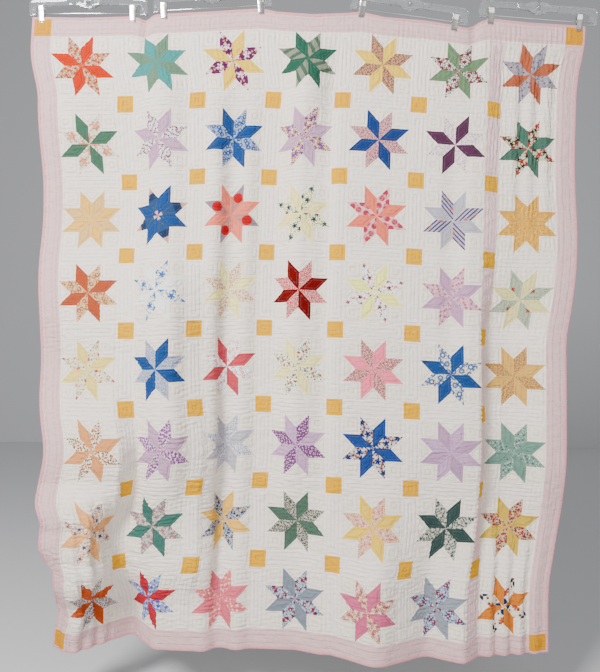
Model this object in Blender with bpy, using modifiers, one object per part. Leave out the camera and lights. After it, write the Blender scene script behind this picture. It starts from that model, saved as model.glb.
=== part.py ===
# Star quilt blanket, hanging from four clear clip hangers by its top edge.
# Metres, +Z up, +X to the viewer's right, the pieced face towards -Y.
# The origin is the seat of the second hanger's hook, on the line of the rail.

import math

import bmesh
import bpy
import numpy as np
from mathutils import Matrix, Vector

for leftover in list(bpy.data.objects):
    bpy.data.objects.remove(leftover, do_unlink=True)

# The quilt's cut sizes
BLOCK = 0.180
SASH = 0.0486
BORDER = 0.0508
BINDING = 0.009
COLUMNS = 7
ROWS = 8
EDGE = BORDER + BINDING
PITCH = BLOCK + SASH
WIDTH = COLUMNS * BLOCK + (COLUMNS - 1) * SASH + 2 * EDGE
LENGTH = ROWS * BLOCK + (ROWS - 1) * SASH + 2 * EDGE

# The quilt's thickness: loft in the open, flat where the binding grips it
LOFT_HALF = 0.0018
RIM_HALF = 0.0015
PUFF = 0.0009
GROUND_PUFF = 0.35
POINT_PUFF = 0.40
ROW_PUFF = 0.25
QUILT_ROW = 0.0270
STAR_REACH = 0.0885
GAP = 0.0003
BINDING_GAP = 0.0004
RIM_LINE = 0.0012
BORDER_LINE = 0.0105

# The hanging folds. Each row is a wall of cloth that turns out of the quilt's plane:
# name, across, half width, turn (degrees, + comes forward), starts, full, fades, gone.
# Across is measured from the left edge, the last four down from the top edge.
HEM = 9.0
WALLS = (
    ("left column forward", 0.130, 0.075, 18, 0.70, 1.10, 1.25, 1.50),
    ("left edge forward", 0.040, 0.056, 38, 1.54, 1.66, HEM, HEM),
    ("left wall, upper", 0.262, 0.042, -60, 1.00, 1.34, 1.40, 1.52),
    ("left wall, middle", 0.204, 0.086, -64, 1.38, 1.50, 1.62, 1.76),
    ("left wall, star", 0.122, 0.050, -22, 1.64, 1.74, 1.78, 1.88),
    ("left wall, lower", 0.185, 0.135, -45, 1.60, 1.74, HEM, HEM),
    ("second lobe, upper", 0.360, 0.100, 18, 0.10, 0.60, 1.40, 1.75),
    ("second column slope", 0.500, 0.100, -30, 0.60, 0.95, 1.25, 1.55),
    ("second lobe, lower", 0.347, 0.084, 49, 1.54, 1.80, HEM, HEM),
    ("second lobe back", 0.545, 0.050, -56, 1.00, 1.60, 1.62, 1.78),
    ("second lobe back, lower", 0.545, 0.050, -16, 1.62, 1.78, HEM, HEM),
    ("second column back", 0.610, 0.090, -15, 0.05, 0.50, 1.20, 1.60),
    ("third column forward", 0.780, 0.080, -1, 0.05, 0.50, 1.40, 1.70),
    ("third column slope", 0.900, 0.060, 30, 0.05, 0.50, 1.40, 1.70),
    ("third lobe forward", 0.880, 0.055, 19, 1.35, 1.65, HEM, HEM),
    ("third lobe slope", 1.010, 0.090, 34, 1.40, 1.70, HEM, HEM),
    ("third ridge back", 1.183, 0.100, -31, 1.25, 1.75, HEM, HEM),
    ("sixth column forward", 1.290, 0.070, 9, 0.10, 0.60, 1.30, 1.60),
    ("fourth lobe forward", 1.320, 0.060, 26, 1.45, 1.80, HEM, HEM),
    ("long wall, top", 1.407, 0.035, -24, 0.03, 0.14, 0.60, 0.90),
    ("long wall, middle", 1.407, 0.038, -64, 0.60, 1.00, 1.50, 1.70),
    ("long wall, bottom", 1.407, 0.042, -40, 1.50, 1.70, HEM, HEM),
    ("right edge forward", 1.560, 0.080, 23, 0.50, 1.00, 1.40, 1.70),
)

# Soft swells and fine pleats, each a run of waves: name, across, half width,
# pitch of the waves, turn, starts, full, fades, gone.
WAVES = (
    ("gap of the left hangers", 0.345, 0.034, 0.052, 28, -1.0, -0.5, 0.02, 0.30),
    ("gap of the right hangers", 1.335, 0.036, 0.058, 26, -1.0, -0.5, 0.02, 0.30),
    ("second column swells", 0.378, 0.125, 0.200, -23, 0.03, 0.25, 1.40, 1.70),
    ("third column swells", 0.607, 0.120, 0.110, 31, 0.10, 0.50, HEM, HEM),
    ("fourth column swells", 0.836, 0.120, 0.200, -45, 0.03, 0.25, 1.30, 1.60),
    ("sixth column swells", 1.293, 0.080, 0.110, 18, 0.30, 0.50, 0.90, 1.10),
    ("right pleats, upper", 1.550, 0.110, 0.052, 29, 0.03, 0.22, 0.35, 0.75),
    ("right pleats, lower", 1.550, 0.125, 0.052, 45, 1.35, 1.70, HEM, HEM),
    ("left column pleats", 0.120, 0.120, 0.046, 32, 1.30, 1.60, HEM, HEM),
)

# The top edge between the clips: along from the left corner, drop below its highest point
TOP_LINE = (
    (0.000, 0.035), (0.028, 0.034), (0.150, 0.035), (0.303, 0.029), (0.339, 0.039),
    (0.375, 0.022), (0.400, 0.020), (0.530, 0.012), (0.691, 0.000), (0.742, 0.010),
    (0.848, 0.016), (0.954, 0.011), (0.994, 0.007), (1.060, 0.022), (1.188, 0.032),
    (1.273, 0.045), (1.312, 0.054), (1.348, 0.036), (1.385, 0.023), (1.506, 0.035),
    (1.651, 0.042), (1.671, 0.045),
)
# The part of that line that the whole quilt hangs by: along, drop
BROAD_LINE = (
    (0.00, 0.034), (0.35, 0.026), (0.69, 0.006), (1.00, 0.014), (1.30, 0.034), (1.671, 0.042),
)
BROAD_MEAN = 0.024
BROAD_LOSS = 0.25
LOCAL_REACH = 0.22
# How far the puckered hem is drawn up: along, rise
HEM_RISE = (
    (0.00, 0.022), (0.30, 0.020), (0.55, 0.004), (0.90, 0.000), (1.10, 0.008), (1.40, 0.010),
    (1.671, 0.030),
)
HEM_RISE_FROM = 1.35
# The line of cloth that keeps its place sideways, and its drift to the left on the way down
STILL_LINE = 0.950
STILL_X = 0.1122
DRIFT = -0.018
DRIFT_DONE = 0.95
# The clips hold the top edge a little to the right of where the cloth below would hang
UPPER_SHIFT = 0.010
UPPER_REACH = 0.45

FINE_STEP = 0.001
FINE = np.arange(0.0, WIDTH + FINE_STEP, FINE_STEP)
SMOOTHING = 0.026
NORMAL_STEP = 0.004


def smooth_line(table):
    """A table's line on the fine steps, with its corners eased."""
    rough = np.interp(FINE, [row[0] for row in table], [row[1] for row in table])
    half = int(SMOOTHING / FINE_STEP / 2)
    weights = np.hanning(2 * half + 3)
    padded = np.pad(rough, half + 1, mode="edge")
    return np.convolve(padded, weights / weights.sum(), mode="valid")


TOP_DROP = smooth_line(TOP_LINE)
BROAD_DROP = smooth_line(BROAD_LINE)
HEM_LIFT = smooth_line(HEM_RISE)


def ramp(value, start, end):
    """0 before start, 1 after end, eased between."""
    t = min(max((value - start) / (end - start), 0.0), 1.0)
    return t * t * (3.0 - 2.0 * t)


def share(down, starts, full, fades, gone):
    """How strongly a fold shows at this distance below the top edge; one that fades at HEM runs on."""
    strength = ramp(down, starts, full)
    if fades < HEM:
        strength *= 1.0 - ramp(down, fades, gone)
    return strength


def window(offset):
    """1 over the middle half of a fold, easing to 0 at its sides."""
    t = np.clip((np.abs(offset) - 0.5) / 0.5, 0.0, 1.0)
    return 0.5 * (1.0 + np.cos(np.pi * t))


def hang_line(down):
    """The cloth's x, depth towards the viewer and z on the fine steps at one level."""
    turn = np.zeros_like(FINE)
    for _, across, half, degrees, starts, full, fades, gone in WALLS:
        strength = share(down, starts, full, fades, gone)
        turn += math.radians(degrees) * strength * window((FINE - across) / half)
    for _, across, half, pitch, degrees, starts, full, fades, gone in WAVES:
        strength = share(down, starts, full, fades, gone)
        wave = np.sin(2.0 * np.pi * (FINE - across) / pitch)
        turn += math.radians(degrees) * strength * window((FINE - across) / half) * wave
    middle = 0.5 * (turn[1:] + turn[:-1])
    x = np.concatenate(([0.0], np.cumsum(np.cos(middle)) * FINE_STEP))
    depth = np.concatenate(([0.0], np.cumsum(np.sin(middle)) * FINE_STEP))
    depth -= np.interp(STILL_LINE, FINE, depth)
    drift = DRIFT * min(down / DRIFT_DONE, 1.0) + UPPER_SHIFT * (1.0 - ramp(down, 0.0, UPPER_REACH))
    x += STILL_X + drift - np.interp(STILL_LINE, FINE, x)
    local = max(1.0 - down / LOCAL_REACH, 0.0) ** 1.5
    broad = BROAD_MEAN + (BROAD_DROP - BROAD_MEAN) * (1.0 - BROAD_LOSS * down)
    lift = HEM_LIFT * max((down - HEM_RISE_FROM) / (LENGTH - HEM_RISE_FROM), 0.0) ** 1.6
    z = lift - down - (TOP_DROP - BROAD_DROP) * local - broad
    return x, depth, z


def line_point(line, across):
    """The middle of the quilt's thickness at one place along a hung line."""
    x, depth, z = (float(np.interp(across, FINE, values)) for values in line)
    return Vector((x, -depth, z))


# The hangers: name, the places along the top edge that the left and right clips grip,
# and how far the bar's middle stands to the right of the middle of its clips
HANGERS = (
    ("hanger_1", 0.028, 0.303, 0.004),
    ("hanger_2", 0.400, 0.691, 0.000),
    ("hanger_3", 0.994, 1.273, 0.000),
    ("hanger_4", 1.385, 1.651, 0.008),
)
BAR_WIDTH = 0.3556
BAR_TOP = 0.045
BAR_BOTTOM = 0.024
BAR_END_LOW = -0.007
BAR_END_WIDTH = 0.0225
BAR_CORNER = 0.018
BAR_INNER_CORNER = 0.006
BAR_TOE = 0.003
BAR_HALF_DEPTH = 0.0033
WEB_HALF_DEPTH = 0.0012
BAR_RIM = 0.0022
BOSS_TOP = 0.051
BOSS_BOTTOM = 0.015
BOSS_TOP_HALF = 0.020
BOSS_TOP_FOOT = 0.034
BOSS_BOTTOM_HALF = 0.013
BOSS_BOTTOM_FOOT = 0.030
BOSS_HALF_DEPTH = 0.0046
BOSS_SET_IN = 0.0006
BOSS_RIB_TOP = 0.046
BOSS_RIB_BOTTOM = 0.040
POCKET_RIB_TOP = 0.064
POCKET_RIB_BOTTOM = 0.056
POCKET_LOW = 0.006
WINDOW_HALF = 0.0052
WINDOW_LOW = 0.024
WINDOW_HIGH = 0.038
SHANK_BORE = 0.0022

WIRE_RADIUS = 0.0016
WIRE_INSERT = 0.012
WIRE_ABOVE_EDGE = 0.010
WIRE_SEAT_HALF_DEPTH = 0.0031
WIRE_SEAT_LOW = -0.0045
WIRE_SEAT_HIGH = 0.0075

HOOK_WIRE = 0.0017
HOOK_RADIUS = 0.0207
HOOK_RISE = 0.058
HOOK_TIP_ANGLE = 205
HOOK_HEAD_RADIUS = 0.0034
HOOK_HEAD_TALL = 0.0024
HOOK_NECK = 0.0035
HOOK_FIRST_ANGLE = -70
HOOK_STEP_ANGLE = 25

JAW_WIDTH = 0.0175
JAW_SHEET = 0.0010
# A jaw's inner line from its lever to its lip: off its grip on the cloth, above the wire
JAW_LINE = (
    (0.0055, 0.0225), (0.0022, 0.0060), (0.0016, -0.0050), (0.0000, -0.0235), (0.0012, -0.0290),
)
EAR_THICK = 0.0010
EAR_INSET = 0.0004
EAR_REACH = 0.0026
EAR_LOW = -0.0035
EAR_HIGH = 0.0045
SPRING_LENGTH = 0.0075
SPRING_INNER = 0.0021
SPRING_OUTER = 0.0030

collection = bpy.data.collections.new("star_quilt_blanket")
bpy.context.scene.collection.children.link(collection)
cutters = bpy.data.collections.new("cutters")
bpy.context.scene.collection.children.link(cutters)


def make_material(name, colour, roughness, metallic, alpha=1.0):
    """A plain Principled finish."""
    material = bpy.data.materials.new(name)
    material.use_nodes = True
    shader = material.node_tree.nodes["Principled BSDF"]
    shader.inputs["Base Color"].default_value = (*colour, 1.0)
    shader.inputs["Roughness"].default_value = roughness
    shader.inputs["Metallic"].default_value = metallic
    shader.inputs["Alpha"].default_value = alpha
    return material


def add_object(name, mesh, material, place=None):
    """A finished sub-part, standing at its place in the whole."""
    piece = bpy.data.objects.new(name, mesh)
    collection.objects.link(piece)
    if not mesh.materials:
        mesh.materials.append(material)
    if place is not None:
        piece.matrix_world = place
    return piece


def mesh_from(name, build):
    """A mesh filled by a bmesh function, with its faces pointing out."""
    work = bmesh.new()
    build(work)
    bmesh.ops.recalc_face_normals(work, faces=work.faces)
    mesh = bpy.data.meshes.new(name)
    work.to_mesh(mesh)
    work.free()
    return mesh


def outline_mesh(name, points, half_depth):
    """A closed flat outline in the XZ plane, filled and given its depth along Y."""
    curve = bpy.data.curves.new(name, "CURVE")
    curve.dimensions = "2D"
    curve.fill_mode = "BOTH"
    curve.extrude = half_depth
    spline = curve.splines.new("POLY")
    spline.points.add(len(points) - 1)
    for point, (x, z) in zip(spline.points, points):
        point.co = (x, z, 0.0, 1.0)
    spline.use_cyclic_u = True
    holder = bpy.data.objects.new(name, curve)
    bpy.context.scene.collection.objects.link(holder)
    evaluated = holder.evaluated_get(bpy.context.evaluated_depsgraph_get())
    mesh = bpy.data.meshes.new_from_object(evaluated)
    mesh.transform(Matrix.Rotation(math.radians(90.0), 4, "X"))
    bpy.data.objects.remove(holder)
    weld(mesh)
    return mesh


def tube_mesh(name, route, radius):
    """A round wire with closed ends along a route of points."""
    curve = bpy.data.curves.new(name, "CURVE")
    curve.dimensions = "3D"
    curve.bevel_depth = radius
    curve.bevel_resolution = 2
    curve.use_fill_caps = True
    spline = curve.splines.new("POLY")
    spline.points.add(len(route) - 1)
    for point, place in zip(spline.points, route):
        point.co = (*place, 1.0)
    holder = bpy.data.objects.new(name, curve)
    bpy.context.scene.collection.objects.link(holder)
    evaluated = holder.evaluated_get(bpy.context.evaluated_depsgraph_get())
    mesh = bpy.data.meshes.new_from_object(evaluated)
    bpy.data.objects.remove(holder)
    weld(mesh)
    return mesh


def weld(mesh):
    """Close a curve's caps onto its sides."""
    work = bmesh.new()
    work.from_mesh(mesh)
    bmesh.ops.remove_doubles(work, verts=work.verts, dist=0.00002)
    bmesh.ops.recalc_face_normals(work, faces=work.faces)
    work.to_mesh(mesh)
    work.free()


def add_cutter(name, mesh):
    """A shape that only cuts or joins another."""
    cutter = bpy.data.objects.new(name, mesh)
    cutters.objects.link(cutter)
    cutter.hide_render = True
    cutter.display_type = "WIRE"
    return cutter


def box_mesh(name, low, high):
    """A box between two corners."""
    def build(work):
        size = [b - a for a, b in zip(low, high)]
        centre = [(a + b) / 2.0 for a, b in zip(low, high)]
        bmesh.ops.create_cube(work, size=1.0)
        bmesh.ops.scale(work, vec=size, verts=work.verts)
        bmesh.ops.translate(work, vec=centre, verts=work.verts)
    return mesh_from(name, build)


def rod_mesh(name, radius, start, end, sides):
    """A round rod between two points."""
    axis = Vector(end) - Vector(start)
    def build(work):
        bmesh.ops.create_cone(
            work, cap_ends=True, segments=sides, radius1=radius, radius2=radius, depth=axis.length)
        turn = axis.to_track_quat("Z", "Y").to_matrix().to_4x4()
        middle = (Vector(start) + Vector(end)) / 2.0
        bmesh.ops.transform(work, matrix=Matrix.Translation(middle) @ turn, verts=work.verts)
    return mesh_from(name, build)


def combine(name, base, steps):
    """The mesh that is left when the steps are cut from, or joined to, the base mesh."""
    work = bpy.data.objects.new(name, base)
    collection.objects.link(work)
    for operation, cutter in steps:
        boolean = work.modifiers.new(operation.lower(), "BOOLEAN")
        boolean.operation = operation
        boolean.object = cutter
        boolean.solver = "EXACT"
    evaluated = work.evaluated_get(bpy.context.evaluated_depsgraph_get())
    mesh = bpy.data.meshes.new_from_object(evaluated)
    mesh.name = name
    bpy.data.objects.remove(work)
    return mesh


# The quilt: pieced top, batting and backing quilted into one sheet

def stations(count, block_steps, sash_steps):
    """Grid lines across one way of the quilt, on its seams and between them."""
    lines = [RIM_LINE, BORDER_LINE]
    for index in range(count):
        start = EDGE + index * PITCH
        lines += [start + BLOCK * step / block_steps for step in range(block_steps + 1)]
        if index < count - 1:
            lines += [start + BLOCK + SASH * step / sash_steps for step in range(1, sash_steps)]
    total = WIDTH if count == COLUMNS else LENGTH
    return lines + [total - BORDER_LINE, total - RIM_LINE]


ACROSS = stations(COLUMNS, 8, 2)
DOWN = stations(ROWS, 2, 1)


def in_block(place):
    """Distance from the middle of the block that a place lies in, along one way."""
    return (place - EDGE) % PITCH - BLOCK / 2.0


def puff(across, down):
    """How far the quilted face stands above its seams, at one place: ground, points, quilted rows."""
    x = in_block(across)
    z = in_block(down)
    if max(abs(x), abs(z)) > BLOCK / 2.0 - GAP:
        return 0.0
    if math.hypot(x, z) > STAR_REACH:
        return GROUND_PUFF * PUFF
    points = 0.5 + 0.5 * math.cos(8.0 * (math.atan2(z, x) - math.pi / 8.0))
    rows = 0.5 - 0.5 * math.cos(2.0 * math.pi * (x + z) / QUILT_ROW)
    return PUFF * (GROUND_PUFF + POINT_PUFF * points + ROW_PUFF * rows)


def half_thickness(across, down):
    """Half the quilt's thickness: thin under the binding, puffed between the seams."""
    rim = min(across, WIDTH - across, down, LENGTH - down)
    if rim <= BORDER_LINE:
        return RIM_HALF
    return LOFT_HALF + puff(across, down)


def lattice(rows, columns):
    """Places of the hung sheet where two sets of lines cross, and its normals towards the viewer."""
    places = []
    normals = []
    for down in rows:
        here = hang_line(down)
        above = hang_line(max(down - NORMAL_STEP, 0.0))
        below = hang_line(min(down + NORMAL_STEP, LENGTH))
        place_row = []
        normal_row = []
        for across in columns:
            left = line_point(here, max(across - NORMAL_STEP, 0.0))
            right = line_point(here, min(across + NORMAL_STEP, WIDTH))
            downwards = line_point(below, across) - line_point(above, across)
            place_row.append(line_point(here, across))
            normal_row.append(downwards.cross(right - left).normalized())
        places.append(place_row)
        normals.append(normal_row)
    return places, normals


PLACES, NORMALS = lattice(DOWN, ACROSS)


def build_quilt(work):
    """Front and back skins a thickness apart, closed round the edge."""
    front = []
    back = []
    for row, down in enumerate(DOWN):
        front_row = []
        back_row = []
        for column, across in enumerate(ACROSS):
            place = PLACES[row][column] - ORIGIN
            normal = NORMALS[row][column]
            half = half_thickness(across, down)
            flat_half = LOFT_HALF if half > RIM_HALF else RIM_HALF
            front_row.append(work.verts.new(place + normal * half))
            back_row.append(work.verts.new(place - normal * flat_half))
        front.append(front_row)
        back.append(back_row)
    last_row = len(DOWN) - 1
    last_column = len(ACROSS) - 1
    for row in range(last_row):
        for column in range(last_column):
            for skin, flip in ((front, False), (back, True)):
                corners = [
                    skin[row][column], skin[row + 1][column],
                    skin[row + 1][column + 1], skin[row][column + 1],
                ]
                work.faces.new(corners[::-1] if flip else corners)
    rim = [(0, column) for column in range(last_column)]
    rim += [(row, last_column) for row in range(last_row)]
    rim += [(last_row, column) for column in range(last_column, 0, -1)]
    rim += [(row, 0) for row in range(last_row, 0, -1)]
    for index, (row, column) in enumerate(rim):
        next_row, next_column = rim[(index + 1) % len(rim)]
        here = (front[row][column], back[row][column])
        there = (front[next_row][next_column], back[next_row][next_column])
        work.faces.new((here[0], there[0], there[1]))
        work.faces.new((here[0], there[1], here[1]))


# The binding: one folded strip sewn over the quilt's edge all round, mitred at the corners.
# Its section runs from the hem on the face, round the fold, to the hem on the back:
# inwards from the finished edge, off the middle of the sheet.
BINDING_INNER = RIM_HALF + BINDING_GAP
BINDING_CLOTH = 0.0007
BINDING_EDGE_CLOTH = 0.0004
BINDING_FOLD = 0.0008
JAW_GRIP = BINDING_INNER + BINDING_CLOTH + GAP
BINDING_SECTION = (
    (BINDING, BINDING_INNER + BINDING_CLOTH),
    (0.0, BINDING_INNER + BINDING_EDGE_CLOTH),
    (0.0, -BINDING_INNER - BINDING_EDGE_CLOTH),
    (BINDING, -BINDING_INNER - BINDING_CLOTH),
    (BINDING, -BINDING_INNER),
    (BINDING_FOLD, -BINDING_INNER),
    (BINDING_FOLD, BINDING_INNER),
    (BINDING, BINDING_INNER),
)


def build_binding(work):
    """The section carried round the edge, on the quilt's own grid lines."""
    inner_across = ACROSS[1:-1]
    inner_down = DOWN[1:-1]
    ring = [(across, 0.0, 0, 1) for across in inner_across]
    ring += [(WIDTH, down, -1, 0) for down in inner_down]
    ring += [(across, LENGTH, 0, -1) for across in reversed(inner_across)]
    ring += [(0.0, down, 1, 0) for down in reversed(inner_down)]
    corner_at = {
        0: (0.0, 0.0, 1, 1),
        len(inner_across): (WIDTH, 0.0, -1, 1),
        len(inner_across) + len(inner_down): (WIDTH, LENGTH, -1, -1),
        2 * len(inner_across) + len(inner_down): (0.0, LENGTH, 1, -1),
    }
    stops = []
    for index, stop in enumerate(ring):
        if index in corner_at:
            stops.append(corner_at[index])
        stops.append(stop)
    loops = []
    for across, down, into_x, into_z in stops:
        loop = []
        for inward, off in BINDING_SECTION:
            u = across + into_x * inward
            v = down + into_z * inward
            (places,), (normals,) = lattice([v], [u])
            loop.append(work.verts.new(places[0] - ORIGIN + normals[0] * off))
        loops.append(loop)
    count = len(BINDING_SECTION)
    for index, loop in enumerate(loops):
        following = loops[(index + 1) % len(loops)]
        for step in range(count):
            ahead = (step + 1) % count
            work.faces.new((loop[step], loop[ahead], following[step]))
            work.faces.new((loop[ahead], following[ahead], following[step]))


# The hangers' places, worked out from where their clips grip the top edge

def hanger_place(left_grip, right_grip, offset):
    """The middle of the wire, as a frame turned with the hanger's tilt."""
    top_edge = hang_line(0.0)
    left = line_point(top_edge, left_grip)
    right = line_point(top_edge, right_grip)
    tilt = math.atan2(right.z - left.z, right.x - left.x)
    middle = (left + right) / 2.0
    middle.y = 0.0
    turn = Matrix.Rotation(-tilt, 4, "Y")
    lift = turn @ Vector((offset, 0.0, WIRE_ABOVE_EDGE))
    half_span = (right - left).length / 2.0
    return Matrix.Translation(middle + lift) @ turn, half_span, tilt


PLACED = [(name, offset, *hanger_place(left, right, offset)) for name, left, right, offset in HANGERS]
HIGHEST_BOSS = max((place @ Vector((0.0, 0.0, BOSS_TOP))).z for _, _, place, _, _ in PLACED)
RAIL_SEAT = HIGHEST_BOSS + HOOK_RISE


def hook_reach(place, tilt):
    """How far the hook's seat stands above the wire, so that all seats are level."""
    return (RAIL_SEAT - place.translation.z) / math.cos(tilt)


SECOND = PLACED[1]
ORIGIN = SECOND[2] @ Vector((0.0, 0.0, hook_reach(SECOND[2], SECOND[4])))


def corner(centre_x, centre_z, radius, start, end, steps):
    """Points of a rounded corner, angles in degrees."""
    points = []
    for step in range(steps + 1):
        angle = math.radians(start + (end - start) * step / steps)
        points.append((centre_x + radius * math.cos(angle), centre_z + radius * math.sin(angle)))
    return points


def bar_outline():
    """The hanger's outline: its right half from the top middle to the bottom middle, and its mirror."""
    side = BAR_WIDTH / 2.0
    inner = side - BAR_END_WIDTH
    right = [(BOSS_TOP_HALF, BOSS_TOP), (BOSS_TOP_FOOT, BAR_TOP)]
    right += corner(side - BAR_CORNER, BAR_TOP - BAR_CORNER, BAR_CORNER, 90, 0, 3)
    right += [(side, BAR_END_LOW + BAR_TOE), (side - BAR_TOE, BAR_END_LOW), (inner, BAR_END_LOW)]
    right += corner(inner - BAR_INNER_CORNER, BAR_BOTTOM - BAR_INNER_CORNER, BAR_INNER_CORNER, 0, 90, 1)
    right += [(BOSS_BOTTOM_FOOT, BAR_BOTTOM), (BOSS_BOTTOM_HALF, BOSS_BOTTOM)]
    return right + [(-x, z) for x, z in reversed(right)]


def pocket_outline(side):
    """The sunk face of one arm, from the boss's slanted rib round to the end."""
    top = BAR_TOP - BAR_RIM
    bottom = BAR_BOTTOM + BAR_RIM
    outer = BAR_WIDTH / 2.0 - BAR_RIM
    inner = BAR_WIDTH / 2.0 - BAR_END_WIDTH + BAR_RIM
    radius = BAR_CORNER - BAR_RIM
    points = [(POCKET_RIB_TOP, top)]
    points += corner(outer - radius, top - radius, radius, 90, 0, 2)
    points += [(outer, POCKET_LOW), (inner, POCKET_LOW), (inner, bottom), (POCKET_RIB_BOTTOM, bottom)]
    return [(side * x, z) for x, z in points]


def boss_outline():
    """The thicker middle, a little inside the bar's own outline and reaching out to its slanted ribs."""
    top = BOSS_TOP - BOSS_SET_IN
    shoulder = BAR_TOP - BOSS_SET_IN
    right = [
        (BOSS_TOP_HALF, top), (BOSS_TOP_FOOT, shoulder), (BOSS_RIB_TOP, BAR_TOP - BAR_RIM),
        (BOSS_RIB_BOTTOM, BAR_BOTTOM + BAR_RIM), (BOSS_BOTTOM_HALF, BOSS_BOTTOM + BOSS_SET_IN),
    ]
    return right + [(-x, z) for x, z in reversed(right)]


def wire_end(side):
    """What holds the wire at one end of the bar: a solid seat in the pocket and the bore into it."""
    end = BAR_WIDTH / 2.0 - BAR_END_WIDTH
    along = sorted((side * (end + BAR_RIM), side * (end + WIRE_INSERT + BAR_RIM)))
    seat = box_mesh("wire_seat", (along[0], -WIRE_SEAT_HALF_DEPTH, WIRE_SEAT_LOW),
                    (along[1], WIRE_SEAT_HALF_DEPTH, WIRE_SEAT_HIGH))
    bore = rod_mesh("wire_bore", WIRE_RADIUS + GAP, (side * (end - BAR_RIM), 0, 0),
                    (side * (end + WIRE_INSERT + GAP), 0, 0), 8)
    return seat, bore


def build_bar():
    """One clear plastic body: rimmed arms, turned-down ends, and a boss with its window."""
    base = outline_mesh("bar_outline", bar_outline(), BAR_HALF_DEPTH)
    boss = outline_mesh("boss_outline", boss_outline(), BOSS_HALF_DEPTH)
    joined = [("UNION", add_cutter("boss", boss))]
    cut = []
    pocket_depth = 2.0 * BAR_HALF_DEPTH
    for side in (1, -1):
        pocket = outline_mesh("pocket", pocket_outline(side), pocket_depth)
        for face in (1, -1):
            sunk = pocket.copy()
            sunk.transform(Matrix.Translation((0.0, face * (pocket_depth + WEB_HALF_DEPTH), 0.0)))
            joined.append(("DIFFERENCE", add_cutter("pocket", sunk)))
        seat, bore = wire_end(side)
        joined.append(("UNION", add_cutter("wire_seat", seat)))
        cut.append(("DIFFERENCE", add_cutter("wire_bore", bore)))
    through = 4.0 * BAR_HALF_DEPTH
    window_box = box_mesh(
        "window", (-WINDOW_HALF, -through, WINDOW_LOW), (WINDOW_HALF, through, WINDOW_HIGH))
    cut.append(("DIFFERENCE", add_cutter("window", window_box)))
    shank_bore = rod_mesh(
        "shank_bore", SHANK_BORE, (0, 0, WINDOW_HIGH - BAR_TOE), (0, 0, BOSS_TOP + BAR_TOE), 8)
    cut.append(("DIFFERENCE", add_cutter("shank_bore", shank_bore)))
    return combine("bar", base, joined + cut)


def hook_mesh(reach):
    """A swivel hook: peened head in the window, shank, and a loop in the YZ plane."""
    centre = reach - (HOOK_RADIUS - HOOK_WIRE)
    neck = centre - HOOK_RADIUS
    route = [
        (0.0, 0.0, WINDOW_HIGH - HOOK_HEAD_TALL / 2.0), (0.0, 0.0, BOSS_TOP),
        (0.0, 0.0, neck - 2.0 * HOOK_NECK), (0.0, 0.0, neck - HOOK_NECK),
        (0.0, -0.6 * HOOK_NECK, neck),
    ]
    for degrees in range(HOOK_FIRST_ANGLE, HOOK_TIP_ANGLE + 1, HOOK_STEP_ANGLE):
        angle = math.radians(degrees)
        route.append((0.0, -HOOK_RADIUS * math.cos(angle), centre + HOOK_RADIUS * math.sin(angle)))
    wire = tube_mesh("hook_wire", route, HOOK_WIRE)
    high = WINDOW_HIGH - GAP
    head = rod_mesh("hook_head", HOOK_HEAD_RADIUS, (0, 0, high - HOOK_HEAD_TALL), (0, 0, high), 8)
    return combine("hook", wire, [("UNION", add_cutter("hook_head", head))])


# The clips: two sprung steel jaws that share the wire as their pivot

def jaw_profile(side):
    """The jaw's inner line from its lever to its lip: off the middle plane, above the wire."""
    return [(side * (JAW_GRIP + off), above) for off, above in JAW_LINE]


def jaw_mesh(side):
    """A bent plate with two ears that bear on the wire."""
    half = JAW_WIDTH / 2.0

    def build(work):
        rows = []
        for y, z in jaw_profile(side):
            rows.append([work.verts.new((x, y, z)) for x in (-half, half)])
        for upper, lower in zip(rows, rows[1:]):
            work.faces.new((upper[0], upper[1], lower[1], lower[0]))

    plate = mesh_from("jaw", build)
    holder = bpy.data.objects.new("jaw", plate)
    collection.objects.link(holder)
    wall = holder.modifiers.new("sheet", "SOLIDIFY")
    wall.thickness = JAW_SHEET
    wall.offset = 1.0 if plate.polygons[0].normal.y * side > 0.0 else -1.0
    evaluated = holder.evaluated_get(bpy.context.evaluated_depsgraph_get())
    base = bpy.data.meshes.new_from_object(evaluated)
    bpy.data.objects.remove(holder)
    depths = sorted((side * (WIRE_RADIUS + GAP), side * (JAW_GRIP + EAR_REACH)))
    steps = []
    for end in (1, -1):
        along = sorted((end * (half - EAR_INSET), end * (half - EAR_INSET - EAR_THICK)))
        ear = box_mesh("ear", (along[0], depths[0], EAR_LOW), (along[1], depths[1], EAR_HIGH))
        steps.append(("UNION", add_cutter("ear", ear)))
    return combine("jaw", base, steps)


def spring_mesh():
    """The coil between the jaws, wound round the wire."""
    half = SPRING_LENGTH / 2.0
    coil = rod_mesh("coil", SPRING_OUTER, (-half, 0, 0), (half, 0, 0), 8)
    bore = rod_mesh("coil_bore", SPRING_INNER, (-0.02, 0, 0), (0.02, 0, 0), 8)
    return combine("spring", coil, [("DIFFERENCE", add_cutter("coil_bore", bore))])


cotton = make_material("quilted_cotton", (0.80, 0.74, 0.70), 0.92, 0.0)
pink = make_material("binding_cotton", (0.74, 0.42, 0.43), 0.92, 0.0)
clear = make_material("clear_plastic", (0.82, 0.85, 0.86), 0.08, 0.0, 0.35)
steel = make_material("steel_wire", (0.62, 0.62, 0.62), 0.22, 1.0)
nickel = make_material("nickel_clip", (0.70, 0.69, 0.66), 0.30, 1.0)

quilt = mesh_from("quilt", build_quilt)
quilt.shade_smooth()
quilt.set_sharp_from_angle(angle=math.radians(50.0))
add_object("quilt", quilt, cotton)
add_object("binding", mesh_from("binding", build_binding), pink)

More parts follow.
